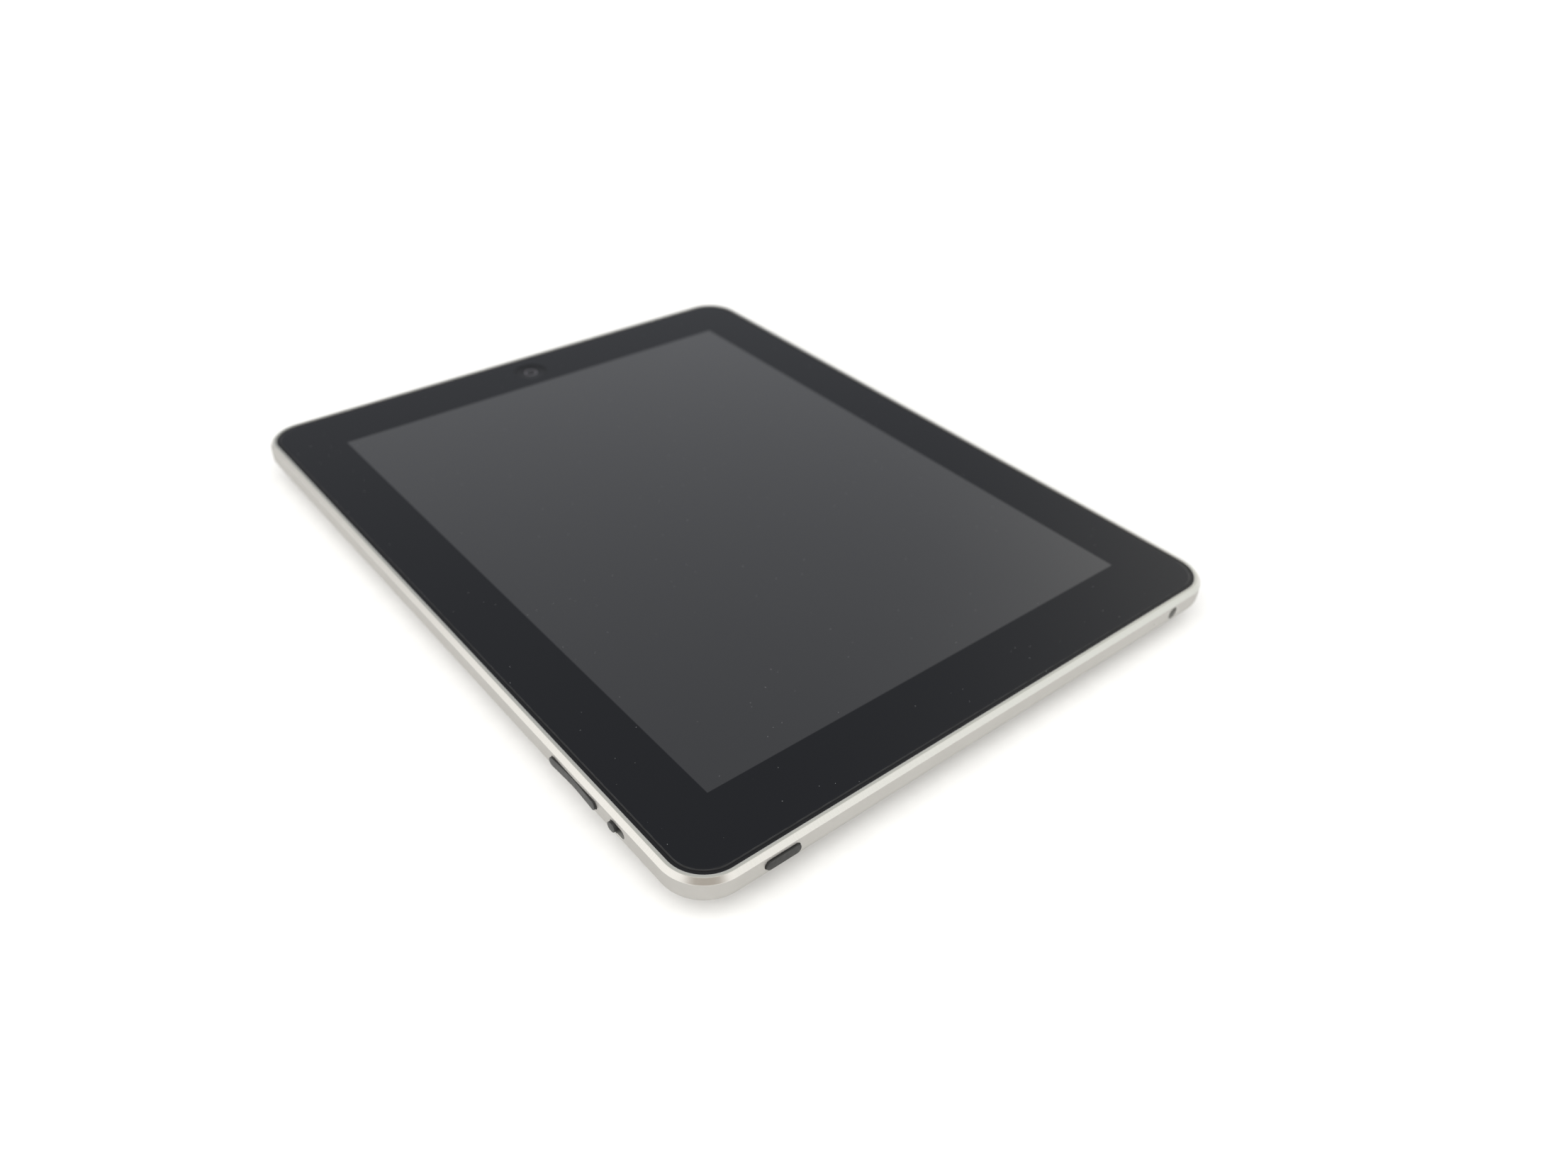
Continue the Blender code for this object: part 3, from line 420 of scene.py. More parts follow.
INK = (0.003, 0.003, 0.0035)  # black print and gloss black plastic
PIXEL_PITCH = 0.19  # of the display's picture elements


def blasted_aluminium():
    """Fine bead-blasted and anodised surface, with a faint cloudiness."""
    recipe = Recipe("blasted_aluminium", (0.70, 0.685, 0.655), 0.36, 1.0)
    recipe.tint(recipe.noise(9.0, 3.0), (0.69, 0.675, 0.645), (0.71, 0.695, 0.665))
    recipe.wear(recipe.noise(1.6), "Roughness", 0.44, 0.48)
    recipe.relief(recipe.noise(0.14, 1.0), 0.0012, 0.5)
    return recipe.material


def cut_aluminium():
    """The chamfer: cut with a tool after blasting, so brighter, with fine marks across the edge."""
    recipe = Recipe("cut_aluminium", (0.93, 0.915, 0.885), 0.24, 1.0)
    recipe.place = recipe.node("ShaderNodeUVMap", uv_map="along_edge").outputs["UV"]
    marks = recipe.noise(0.22, 3.0)
    recipe.tint(marks, (0.915, 0.90, 0.87), (0.945, 0.93, 0.90))
    recipe.wear(recipe.noise(2.3, 2.0), "Roughness", 0.23, 0.26)
    recipe.relief(marks, 0.0005, 0.5)
    return recipe.material


def lip_aluminium():
    recipe = Recipe("lip_aluminium", (0.82, 0.82, 0.76), 0.48, 1.0)
    recipe.wear(recipe.noise(0.8), "Roughness", 0.46, 0.50)
    recipe.relief(recipe.noise(0.16, 1.0), 0.0012, 0.5)
    return recipe.material


def shaded_milled_aluminium():
    """Walls of the slots and holes: dull, with fine tool marks, and painted darker than the outside as shade
    inside the openings.
    """
    recipe = Recipe("shaded_milled_aluminium", (0.48, 0.48, 0.46), 0.65, 0.65)
    marks = recipe.noise(0.10, 2.0, stretch=(1.0, 1.0, 6.0))
    recipe.tint(marks, (0.44, 0.44, 0.42), (0.52, 0.52, 0.50))
    recipe.wear(recipe.noise(0.8), "Roughness", 0.58, 0.72)
    recipe.relief(marks, 0.002, 0.5)
    return recipe.material


def front_glass():
    """Black print under clear glass round a window that shows the dark display, and some dust."""
    recipe = Recipe("front_glass", INK, 0.05)

    def within(name, half):
        """One inside the window along an axis, nothing outside."""
        place = recipe.math("ABSOLUTE", recipe.axis(name))
        return recipe.ramp(place, (half + WINDOW_BLUR) * MM, (half - WINDOW_BLUR) * MM)

    inside = recipe.math("MINIMUM", within("X", WINDOW_HALF_X), within("Y", WINDOW_HALF_Y))
    pixels = recipe.cells(PIXEL_PITCH, randomness=0.0)
    cell = recipe.mix(recipe.ramp(pixels, 0.2, 0.6), (0.0042, 0.0042, 0.0048), (0.0024, 0.0024, 0.0028))
    colour = recipe.mix(inside, (0.003, 0.0034, 0.0047), cell)
    dust = recipe.ramp(recipe.cells(3.0), 0.038, 0.020)
    smear = recipe.noise(38.0, 4.0, stretch=(1.0, 2.2, 1.0))
    recipe.surface("Base Color", recipe.mix(dust, colour, (0.25, 0.25, 0.26)))
    # the window mirrors more than the print: the display's layers lie behind the glass
    recipe.surface("Coat Weight", inside)
    recipe.surface("Coat Roughness", 0.04)
    recipe.surface("Sheen Weight", recipe.math("MULTIPLY", inside, 0.15))
    recipe.surface("Sheen Roughness", 0.4)
    recipe.surface("IOR", recipe.math("ADD", recipe.math("MULTIPLY", inside, 0.25), 1.5))
    haze = recipe.math("MULTIPLY", inside, 0.12)
    recipe.surface("Roughness", recipe.math("ADD", haze, recipe.ramp(smear, 0.35, 0.75, 0.045, 0.085)))
    return recipe.material


def ground_edge():
    """Where the bevel of the glass meets its face: finely frosted, so a thin paler line."""
    recipe = Recipe("ground_edge", (0.02, 0.02, 0.021), 0.45)
    recipe.tint(recipe.noise(2.6, 4.0), INK, (0.034, 0.034, 0.036))
    recipe.wear(recipe.noise(0.7, 2.0), "Roughness", 0.38, 0.55)
    recipe.relief(recipe.noise(0.06, 1.0), 0.002, 0.5)
    return recipe.material


def frame_plastic():
    recipe = Recipe("frame_plastic", (0.0035, 0.0035, 0.004), 0.22)
    recipe.wear(recipe.noise(0.7, 3.0), "Roughness", 0.18, 0.27)
    recipe.relief(recipe.noise(0.12), 0.0015, 0.4)
    return recipe.material


def key_face(name, shade):
    """Satin moulding, with a fine grain and slightly uneven gloss."""
    recipe = Recipe(name, (shade, shade, shade), 0.42)
    recipe.tint(recipe.noise(2.0, 3.0), [0.92 * shade, 0.94 * shade, 0.93 * shade],
                [1.10 * shade, 1.12 * shade, 1.09 * shade])
    recipe.wear(recipe.noise(1.1, 3.0), "Roughness", 0.38, 0.50)
    recipe.relief(recipe.noise(0.09, 1.0), 0.005, 0.5)
    return recipe.material


def shaded_key_side():
    # Flanks of the keys: the same moulding as the faces, painted darker as shade in the gap round each key.
    recipe = Recipe("shaded_key_side", (0.018, 0.018, 0.018), 0.40)
    recipe.wear(recipe.noise(0.6), "Roughness", 0.34, 0.48)
    return recipe.material


def home_plastic():
    """Gloss moulding with a thin, plain ring printed in the dish."""
    recipe = Recipe("home_plastic", INK, 0.07)
    offset = recipe.node("ShaderNodeVectorMath", {0: recipe.place, 1: (*HOME_CENTRE * MM, 0.0)},
                         operation="SUBTRACT")
    flat = recipe.node("ShaderNodeVectorMath", {0: offset.outputs[0], 1: (1.0, 1.0, 0.0)},
                       operation="MULTIPLY")
    length = recipe.node("ShaderNodeVectorMath", {0: flat.outputs[0]}, operation="LENGTH")
    off_ring = recipe.math("SUBTRACT", length.outputs["Value"], PRINT_RADIUS * MM)
    distance = recipe.math("ABSOLUTE", off_ring)
    printed = recipe.ramp(distance, (PRINT_WIDTH / 2 + 0.05) * MM, (PRINT_WIDTH / 2 - 0.02) * MM)
    recipe.surface("Base Color", recipe.mix(printed, INK, (0.15, 0.145, 0.16)))
    recipe.wear(recipe.noise(1.5, 3.0), "Roughness", 0.05, 0.10)
    recipe.relief(printed, 0.004, 0.3)
    return recipe.material


def moulded_plastic():
    recipe = Recipe("moulded_plastic", (0.010, 0.010, 0.011), 0.46)
    recipe.tint(recipe.noise(4.0, 3.0), (0.009, 0.009, 0.010), (0.013, 0.013, 0.014))
    recipe.wear(recipe.noise(1.4, 3.0), "Roughness", 0.40, 0.54)
    recipe.relief(recipe.noise(0.12, 2.0), 0.006, 0.5)
    return recipe.material


def brushed_steel(name, colour):
    """Rolled sheet: fine lines one way under faint blotches from handling."""
    recipe = Recipe(name, colour, 0.32, 1.0)
    lines = recipe.noise(0.10, 3.0, stretch=(30.0, 1.0, 1.0))
    recipe.tint(recipe.noise(6.0, 3.0), [0.93 * c for c in colour], [1.05 * c for c in colour])
    recipe.wear(lines, "Roughness", 0.26, 0.40)
    recipe.relief(lines, 0.001, 0.4)
    return recipe.material


def circuit_board():
    """Green solder mask over copper areas, with bare gilded pads."""
    recipe = Recipe("circuit_board", (0.010, 0.045, 0.022), 0.34, Coat_Weight=0.3)
    copper = recipe.node("ShaderNodeTexBrick", {"Vector": recipe.place, "Scale": 1 / (3.0 * MM),
                                                "Mortar Size": 0.03, "Brick Width": 1.4,
                                                "Row Height": 0.3}).outputs["Fac"]
    mask = recipe.mix(copper, (0.012, 0.055, 0.027), (0.006, 0.028, 0.014))
    pads = recipe.ramp(recipe.cells(1.7), 0.14, 0.11)
    recipe.surface("Base Color", recipe.mix(pads, mask, (0.75, 0.55, 0.22)))
    recipe.surface("Metallic", pads)
    recipe.relief(recipe.math("SUBTRACT", pads, copper), 0.02, 0.6)
    return recipe.material


def chip_resin():
    recipe = Recipe("chip_resin", (0.020, 0.020, 0.022), 0.55)
    recipe.tint(recipe.noise(0.25, 2.0), (0.016, 0.016, 0.018), (0.026, 0.026, 0.028))
    recipe.wear(recipe.noise(0.8, 2.0), "Roughness", 0.48, 0.62)
    recipe.relief(recipe.noise(0.08, 1.0), 0.008, 0.6)
    return recipe.material


def battery_wrap():
    """Laminated pouch: satin film with long, soft creases, painted darker in their hollows as shade."""
    recipe = Recipe("battery_wrap", (0.030, 0.030, 0.033), 0.42)
    crease_relief_and_shade = recipe.noise(9.0, 3.0, stretch=(1.0, 3.0, 1.0))
    # painted shade: darker where the creases sink, lighter where they rise
    recipe.tint(crease_relief_and_shade, (0.026, 0.026, 0.029), (0.036, 0.036, 0.039))
    recipe.wear(recipe.noise(2.5, 2.0), "Roughness", 0.36, 0.50)
    recipe.relief(crease_relief_and_shade, 0.15, 0.5)
    return recipe.material


def cable_film():
    """Amber film over parallel copper tracks."""
    recipe = Recipe("cable_film", (0.30, 0.12, 0.03), 0.34, Coat_Weight=0.4, Coat_Roughness=0.2)
    tracks = recipe.node("ShaderNodeTexWave", {"Vector": recipe.place, "Scale": 1 / (3.0 * MM)},
                         bands_direction="Y").outputs["Fac"]
    recipe.tint(tracks, (0.22, 0.085, 0.02), (0.36, 0.15, 0.04), 0.45, 0.55)
    recipe.wear(recipe.noise(2.0, 2.0), "Roughness", 0.28, 0.42)
    recipe.relief(tracks, 0.01, 0.5)
    return recipe.material


def gilding():
    recipe = Recipe("gilding", (0.80, 0.58, 0.22), 0.28, 1.0)
    recipe.tint(recipe.noise(1.2, 3.0), (0.74, 0.52, 0.19), (0.84, 0.62, 0.26))
    recipe.wear(recipe.noise(0.5, 3.0), "Roughness", 0.22, 0.36)
    recipe.relief(recipe.noise(0.10, 2.0), 0.001, 0.5)
    return recipe.material


def rubber():
    recipe = Recipe("rubber", (0.020, 0.020, 0.020), 0.80)
    recipe.tint(recipe.noise(1.5, 3.0), (0.017, 0.017, 0.017), (0.026, 0.026, 0.025))
    recipe.wear(recipe.noise(0.7, 2.0), "Roughness", 0.72, 0.88)
    recipe.relief(recipe.noise(0.15, 2.0), 0.01, 0.6)
    return recipe.material


def clear_sheet():
    """Clear sheet with a regular field of tiny dots."""
    recipe = Recipe("clear_sheet", (0.55, 0.58, 0.60), 0.10, Transmission_Weight=0.85)
    dots = recipe.ramp(recipe.cells(0.8, randomness=0.0), 0.22, 0.16)
    recipe.surface("Base Color", recipe.mix(dots, (0.55, 0.58, 0.60), (0.85, 0.86, 0.86)))
    recipe.wear(recipe.noise(3.0, 2.0), "Roughness", 0.07, 0.14)
    recipe.relief(dots, 0.01, 0.5)
    return recipe.material


def display_cell():
    """Dark polariser over a fine grid of picture elements."""
    recipe = Recipe("display_cell", (0.035, 0.035, 0.040), 0.20)
    grid = recipe.cells(PIXEL_PITCH, randomness=0.0)
    recipe.tint(grid, (0.042, 0.042, 0.048), (0.022, 0.022, 0.026), 0.2, 0.6)
    recipe.wear(recipe.noise(5.0, 3.0), "Roughness", 0.16, 0.24)
    return recipe.material


def floor_paint():
    """White paper. It is brighter to the camera than to the object, as in an overexposed picture."""
    recipe = Recipe("floor_paint", (0.90, 0.90, 0.895), 0.8)
    fibre = recipe.ramp(recipe.noise(5.0, 4.0), 0.3, 0.7, 0.98, 1.0)
    seen = recipe.node("ShaderNodeLightPath").outputs["Is Camera Ray"]
    paper = recipe.mix(seen, (0.63, 0.63, 0.627), (0.90, 0.90, 0.895))
    shaded = recipe.node("ShaderNodeVectorMath", {0: paper}, operation="SCALE")
    recipe.set(shaded, "Scale", fibre)
    recipe.surface("Base Color", shaded.outputs[0])
    recipe.surface("Specular IOR Level", 0.0)
    return recipe.material


# ---------------------------------------------------------------- rear case

def corner_radius_at(inset):
    return CORNER_RADIUS - inset + inset ** 2 / BELLY_SOFTENING


def ring_at(inset, height, radius):
    """The case's outline, drawn in by inset."""
    return [(x, y, height) for x, y in rounded(HALF_X - inset, HALF_Y - inset, radius)]


def under_profile(thickness_at):
    """Inset and height of the curl from the flat of the back up to the foot of the wall."""
    centre_inset, centre_height = UNDER_ARCS[0][0], WALL_FOOT
    arcs = []
    for index, (radius, first, last, steps) in enumerate(UNDER_ARCS):
        if index:
            turn = math.radians(first)
            shift = radius - UNDER_ARCS[index - 1][0]
            centre_inset += shift * math.cos(turn)
            centre_height += shift * math.sin(turn)
        arcs.append((centre_inset, centre_height, radius, first, last, steps))
    turn = math.radians(UNDER_ARCS[-1][2])
    foot = centre_height - UNDER_ARCS[-1][0] * math.sin(turn)
    crown_radius = foot / (1 - math.sin(turn))
    crown_inset = centre_inset + (crown_radius - UNDER_ARCS[-1][0]) * math.cos(turn)
    arcs.append((crown_inset, crown_radius, crown_radius, UNDER_ARCS[-1][2], 90, CROWN_STEPS))
    points = []
    for centre_inset, centre_height, radius, first, last, steps in arcs:
        for step in range(steps + (last == 90)):
            degrees = first + (last - first) * step / steps
            reach = radius - thickness_at(degrees)
            points.append((centre_inset - reach * math.cos(math.radians(degrees)),
                           centre_height - reach * math.sin(math.radians(degrees))))
    return points[::-1]


def eased(before, corner, after, reach, steps=3):
    """Points that round a corner of a profile, starting reach away from it."""
    start = [c + (b - c) * reach / math.dist(before, corner) for b, c in zip(before, corner)]
    end = [c + (a - c) * reach / math.dist(after, corner) for a, c in zip(after, corner)]
    points = []
    for step in range(steps + 1):
        share = step / steps
        points.append(tuple((1 - share) ** 2 * s + 2 * share * (1 - share) * c + share ** 2 * e
                            for s, c, e in zip(start, corner, end)))
    return points


def case_shell():
    """The tray with its rounded edges and the bevelled mouths of all its openings."""
    outer = under_profile(lambda degrees: 0.0)
    inner = under_profile(lambda degrees: RIM + (FLOOR - RIM) * degrees / 90)[::-1]
    shoulder = (0.0, THICKNESS - CHAMFER_DROP)
    lip_outer, lip_inner = (CHAMFER_WIDTH, THICKNESS), (RIM, THICKNESS)
    edges = ((eased(outer[-1], shoulder, lip_outer, SHOULDER_EASE), CUT),
             (eased(shoulder, lip_outer, lip_inner, CHAMFER_EASE), LIP),
             (eased(lip_outer, lip_inner, inner[0], LIP_EASE), CUT))
    rings = [ring_at(inset, height, corner_radius_at(inset)) for inset, height in outer]
    slots = [BLASTED] * len(rings)
    for points, slot in edges:
        rings += [ring_at(inset, height, CORNER_RADIUS - inset) for inset, height in points]
        slots += [slot] * len(points)
    slots[len(outer)] = BLASTED
    slots[-1] = BLASTED
    rings += [ring_at(inset, height, corner_radius_at(inset)) for inset, height in inner]
    slots += [BLASTED] * len(inner)
    mesh = bmesh.new()
    add_rings(mesh, rings, slots, edge_map=True)
    finishes = [MATERIALS[name] for name in ("blasted", "cut", "lip", "milled")]
    case = piece("case_shell", mesh, finishes, replaces="rear_case")
    combine(case, screw_bosses(), "UNION")
    combine(case, case_openings())
    soften_normals(case)


def screw_bosses():
    """Hollow posts under the screws of the logic board and of the dock connector."""
    mesh = bmesh.new()
    for node in sorted(n for n in frame["nodes"] if n.startswith(("board_screw", "dock_screw"))):
        foot, top = DOCK_BOSS_FOOT, DOCK_BOSS_TOP
        if node.startswith("board"):
            foot, top = FLOOR - BOSS_OVERLAP, BOARD_BOSS_TOP
        bore_end = span(node)[0].z - BOSS_OVERLAP
        stations = ((BOSS_RADIUS, foot), (BOSS_RADIUS, top), (BOSS_BORE, top), (BOSS_BORE, bore_end))
        add_turning(mesh, stations, middle(node).xy, 24)
    return mesh


def case_openings():
    """Cutters for buttons, plugs, sound and the window in the back."""
    mesh = bmesh.new()
    top = (HALF_Y - RIM - THROUGH, HALF_Y, "Y")
    side = (HALF_X - RIM - THROUGH, HALF_X, "X")
    bottom = (-HALF_Y + RIM + THROUGH, -HALF_Y, "Y")
    add_pill_mouth(mesh, POWER_LENGTH + 2 * SEAM, POWER_HEIGHT + 2 * SEAM, (POWER_X, PORT_Z), *top)
    add_round_mouth(mesh, (JACK_X, PORT_Z), JACK_RADIUS, *top)
    add_round_mouth(mesh, (MICROPHONE_X, PORT_Z), MICROPHONE_RADIUS, *top, segments=32)
    add_pill_mouth(mesh, ROCKER_LENGTH + 2 * ROCKER_SEAM, ROCKER_HEIGHT + SEAM, (ROCKER_Y, PORT_Z), *side)
    add_pill_mouth(mesh, KNOB_LENGTH + 2 * SEAM + KNOB_TRAVEL, LOCK_HEIGHT + SEAM,
                   (KNOB_Y + KNOB_TRAVEL / 2, PORT_Z), *side)
    for node in SPEAKER_MESHES:
        add_pill_mouth(mesh, *SPEAKER_SLOT, (middle(node).x, PORT_Z), *bottom)

    def dock_outline(grow):
        return rounded(DOCK_HALF_LENGTH + grow, DOCK_HALF_HEIGHT + grow, DOCK_CORNER + grow,
                       (0.0, DOCK_Z), 12)

    add_mouth(mesh, dock_outline, *bottom, DOCK_FLARE)
    add_round_mouth(mesh, DISC_CENTRE, DISC_RADIUS + SEAM, FLOOR + THROUGH, 0.0, "Z", DISC_FLARE,
                    FINE_CIRCLE)
    for face in mesh.faces:
        if face.material_index == BLASTED:
            face.material_index = MILLED
    return mesh


def antenna_disc():
    """Plain plastic disc let into the back, with a fine step round its edge."""
    low, high = DISC_LOW.z, DISC_HIGH.z
    flange = (DISC_HIGH.x - DISC_LOW.x) / 2
    flange_low = high - DISC_FLANGE
    inset, width, depth = DISC_GROOVE
    groove = DISC_RADIUS - inset
    profile = [(groove - width, low), (groove - width / 2, low + depth), (groove, low)]
    profile += eased((groove, low), (DISC_RADIUS, low), (DISC_RADIUS, flange_low), DISC_EASE)
    profile += [(DISC_RADIUS, flange_low), (flange, flange_low), (flange, high)]
    mesh = bmesh.new()
    add_turning(mesh, profile, DISC_CENTRE)
    disc = piece("antenna_disc", mesh, [MATERIALS["moulded"]],
                 replaces="antenna_window")
    soften_normals(disc)


# ---------------------------------------------------------------- front

def glass_panel():
    """Cover glass; a thin frosted strip runs round its face, where the bevel starts."""
    low, high = GLASS_LOW.z, GLASS_HIGH.z
    underside_bevel, bevel_ease, face_start = 0.1, 0.06, 1.0
    bevel_top = (GLASS_INSET + GLASS_BEVEL, high - GLASS_LINE_DROP)
    bevel_foot = (GLASS_INSET, bevel_top[1] - GLASS_BEVEL_DROP)
    profile = [(GLASS_INSET + underside_bevel, low), (GLASS_INSET, low + underside_bevel)]
    profile += eased(profile[-1], bevel_foot, bevel_top, bevel_ease)
    profile += [bevel_top, (GLASS_INSET + GLASS_BEVEL + GLASS_LINE, high), (GLASS_INSET + face_start, high)]
    slots = [0] * (len(profile) - 3) + [1, 0]
    mesh = bmesh.new()
    add_rings(mesh, [ring_at(inset, z, CORNER_RADIUS - inset) for inset, z in profile], slots)
    finishes = [MATERIALS["glass"], MATERIALS["ground_edge"]]
    glass = piece("glass_panel", mesh, finishes, replaces="cover_glass")
    hole = bmesh.new()
    add_round_mouth(hole, HOME_CENTRE, HOME_RADIUS + HOME_SEAM, low - THROUGH, high, "Z", HOME_FLARE,
                    FINE_CIRCLE)
    combine(glass, hole)
    soften_normals(glass)


def frame_ring():
    """The plastic ring whose top shows between glass and case, with the ledge under the glass."""
    low, high = FRAME_LOW.z, FRAME_HIGH.z
    outer = HALF_X - FRAME_HIGH.x
    profile = [(outer, low)] + eased((outer, low), (outer, high), (GLASS_INSET, high), FRAME_EASE)
    mesh = bmesh.new()
    add_rings(mesh, [ring_at(inset, z, CORNER_RADIUS - inset) for inset, z in profile])
    ring = piece("frame_ring", mesh, [MATERIALS["frame"]], replaces="front_frame")
    pocket = bmesh.new()
    seat, flare, spill = GLASS_INSET - 0.03, 0.05, 0.3
    stations = ((seat, LEDGE_TOP), (seat, high - flare), (seat - flare - spill, high + spill))
    add_rings(pocket, [ring_at(inset, z, CORNER_RADIUS - inset) for inset, z in stations])
    combine(ring, pocket)
    half_width, half_length, corner, centre = DISPLAY_OPENING
    for outline in (rounded(half_width, half_length, corner, centre, 6),
                    circle(HOME_CENTRE, HOME_RADIUS + HOME_HOLE_GAP),
                    circle(SENSOR_CENTRE, SENSOR_RADIUS, 24)):
        hole = bmesh.new()
        add_prism(hole, outline, low - THROUGH, THICKNESS + THROUGH)
        combine(ring, hole)
    notch = bmesh.new()
    add_box(notch, (JACK_X - JACK_NOTCH_HALF, JACK_NOTCH_START, low - THROUGH),
            (JACK_X + JACK_NOTCH_HALF, HALF_Y, LEDGE_TOP + JACK_NOTCH_RISE))
    combine(ring, notch)
    soften_normals(ring)


def home_key():
    """Dished round button with a plain ring printed in its middle."""
    top = HOME_HIGH.z
    flange_low, flange_high = LEDGE_TOP - HOME_FLANGE_DEPTH, LEDGE_TOP
    flange_radius = (HOME_HIGH.x - HOME_LOW.x) / 2
    bevel_in, bevel_up = HOME_STUD_BEVEL
    profile = [(HOME_STUD - bevel_in, HOME_LOW.z), (HOME_STUD, HOME_LOW.z + bevel_up),
               (HOME_STUD, flange_low), (flange_radius, flange_low), (flange_radius, flange_high),
               (HOME_RADIUS, flange_high)]
    profile += eased((HOME_RADIUS, flange_high), (HOME_RADIUS, top), (0.0, top), HOME_EASE)
    rim = HOME_RADIUS - DISH_RIM
    for step in range(1, DISH_STEPS):
        share = 1 - step / DISH_STEPS
        profile.append((rim * share, top - DISH_DEPTH * (1 - share ** 2)))
    mesh = bmesh.new()
    add_turning(mesh, profile, HOME_CENTRE)
    piece("home_key", mesh, [MATERIALS["home"]], "home_button", sharp=40.0, replaces="home_button")


# ---------------------------------------------------------------- edge keys

def add_key_cap(mesh, outline, root, face, along, drop=lambda u: 0.0):
    """Cap with a rounded edge. outline(shrink) gives its rings; drop lowers the face along it.

    Material 0 is the face, material 1 the flanks. The face is filled with strips across it, which
    follow its drop.
    """
    rings = placed([(root, outline(0.0))], along)
    for step in range(KEY_EDGE_STEPS + 1):
        angle = math.radians(90) * step / KEY_EDGE_STEPS
        height = face - KEY_EDGE * (1 - math.sin(angle))
        rings.append([turned(point, height - drop(point[0]), along)
                      for point in outline(KEY_EDGE * (1 - math.cos(angle)))])
    loops = add_rings(mesh, rings, [1] + [0] * KEY_EDGE_STEPS, ends="open")
    base = mesh.faces.new(loops[0][::-1])
    base.material_index = 1
    last = loops[-1]
    count = len(last)
    for index in range(count // 2):
        corners = [last[index], last[index + 1], last[(count - index - 1) % count], last[-index % count]]
        mesh.faces.new(list(dict.fromkeys(corners)))


def key(name, mesh, body, additions, face="key"):
    """A key from its cap and the solids behind it. Its node has the name of its body."""
    finishes = [MATERIALS[face], MATERIALS["shaded_key_side"]]
    item = piece(name, mesh, finishes, body, replaces=body)
    for addition in additions:
        combine(item, addition, "UNION")
    soften_normals(item)


def power_key():
    shoulder = HALF_Y - RIM - FLANGE_GAP
    flange_back = shoulder - FLANGE_DEPTH

    def outline(shrink):
        return pill(POWER_LENGTH - 2 * shrink, POWER_HEIGHT - 2 * shrink, (POWER_X, PORT_Z))

    cap, flange, stud = bmesh.new(), bmesh.new(), bmesh.new()
    add_key_cap(cap, outline, shoulder - ROOT, POWER_HIGH.y, "Y")
    add_box(flange, (POWER_LOW.x, flange_back, POWER_LOW.z), (POWER_HIGH.x, shoulder, POWER_HIGH.z), slot=1)
    add_prism(stud, circle((POWER_X, PORT_Z), POWER_STUD, 32), POWER_LOW.y, flange_back + STUD_ROOT, "Y",
              slot=1)
    key("power_key", cap, "power_button", (flange, stud), "shaded_power_face")


def volume_key():
    """The rocker: its face dips towards the middle."""
    shoulder = HALF_X - RIM - FLANGE_GAP
    flange_back = shoulder - FLANGE_DEPTH

    def dip(y):
        share = min(1.0, abs(y - ROCKER_Y) / (ROCKER_LENGTH / 2))
        return ROCKER_DIP * (1 - share ** ROCKER_CURVE)

    def outline(shrink):
        return pill(ROCKER_LENGTH - 2 * shrink, ROCKER_HEIGHT - 2 * shrink, (ROCKER_Y, PORT_Z), straight=24)

    cap, flange, studs = bmesh.new(), bmesh.new(), bmesh.new()
    add_key_cap(cap, outline, shoulder - ROOT, ROCKER_HIGH.x, "X", drop=dip)
    add_box(flange, (flange_back, ROCKER_LOW.y, ROCKER_LOW.z), (shoulder, ROCKER_HIGH.y, ROCKER_HIGH.z),
            slot=1)
    for switch in ("volume_up_switch", "volume_down_switch"):
        spot = (middle(switch).y, PORT_Z)
        add_prism(studs, circle(spot, ROCKER_STUD, 24), ROCKER_LOW.x, flange_back + STUD_ROOT, "X", slot=1)
    key("volume_key", cap, "volume_rocker", (flange, studs))


def lock_key():
    """The knob on its slider, which covers the slot from inside, and the stem to the switch."""
    slider_high = HALF_X - RIM - SLIDER_GAP
    slider_low = slider_high - SLIDER_DEPTH

    def outline(shrink):
        return pill(KNOB_LENGTH - 2 * shrink, LOCK_HEIGHT - SEAM - 2 * shrink, (KNOB_Y, PORT_Z))

    cap, slider, stem = bmesh.new(), bmesh.new(), bmesh.new()
    add_key_cap(cap, outline, slider_high - ROOT, KNOB_HIGH.x, "X")
    add_box(slider, (slider_low, KNOB_LOW.y, KNOB_LOW.z), (slider_high, KNOB_HIGH.y, KNOB_HIGH.z), slot=1)
    add_box(stem, (KNOB_LOW.x, KNOB_Y - STEM_HALF_Y, PORT_Z - STEM_HALF_Z),
            (slider_low + STUD_ROOT, KNOB_Y + STEM_HALF_Y, PORT_Z + STEM_HALF_Z), slot=1)
    key("lock_key", cap, "lock_knob", (slider, stem))


# ---------------------------------------------------------------- ports and sound

def jack_socket():
    """Socket body with a round bore, a countersunk mouth and three spring contacts in the bore."""
    low, high = span("headphone_jack")
    half_x, half_z = (high.x - low.x) / 2, (high.z - low.z) / 2
    centre = (JACK_X, PORT_Z)
    stations = ((low.y, JACK_BEVEL), (low.y + JACK_BEVEL, 0.0),
                (high.y - JACK_BEVEL, 0.0), (high.y, JACK_BEVEL))
    sections = [(y, rounded(half_x - shrink, half_z - shrink, JACK_CORNER - shrink, centre, 8))
                for y, shrink in stations]
    body = bmesh.new()
    add_rings(body, placed(sections, "Y"))
    socket = piece("jack_socket", body, [MATERIALS["moulded"], MATERIALS["wire"]],
                   replaces="headphone_jack")
    bore = bmesh.new()
    add_round_mouth(bore, centre, JACK_RADIUS - JACK_BORE_STEP, low.y + JACK_BORE_END, high.y, "Y",
                    JACK_COUNTERSINK)
    combine(socket, bore)
    springs = bmesh.new()
    for number, turn in enumerate(SPRING_TURNS):
        add_spring(springs, math.radians(turn), high.y - SPRING_START - SPRING_PITCH * number)
    combine(socket, springs, "UNION")


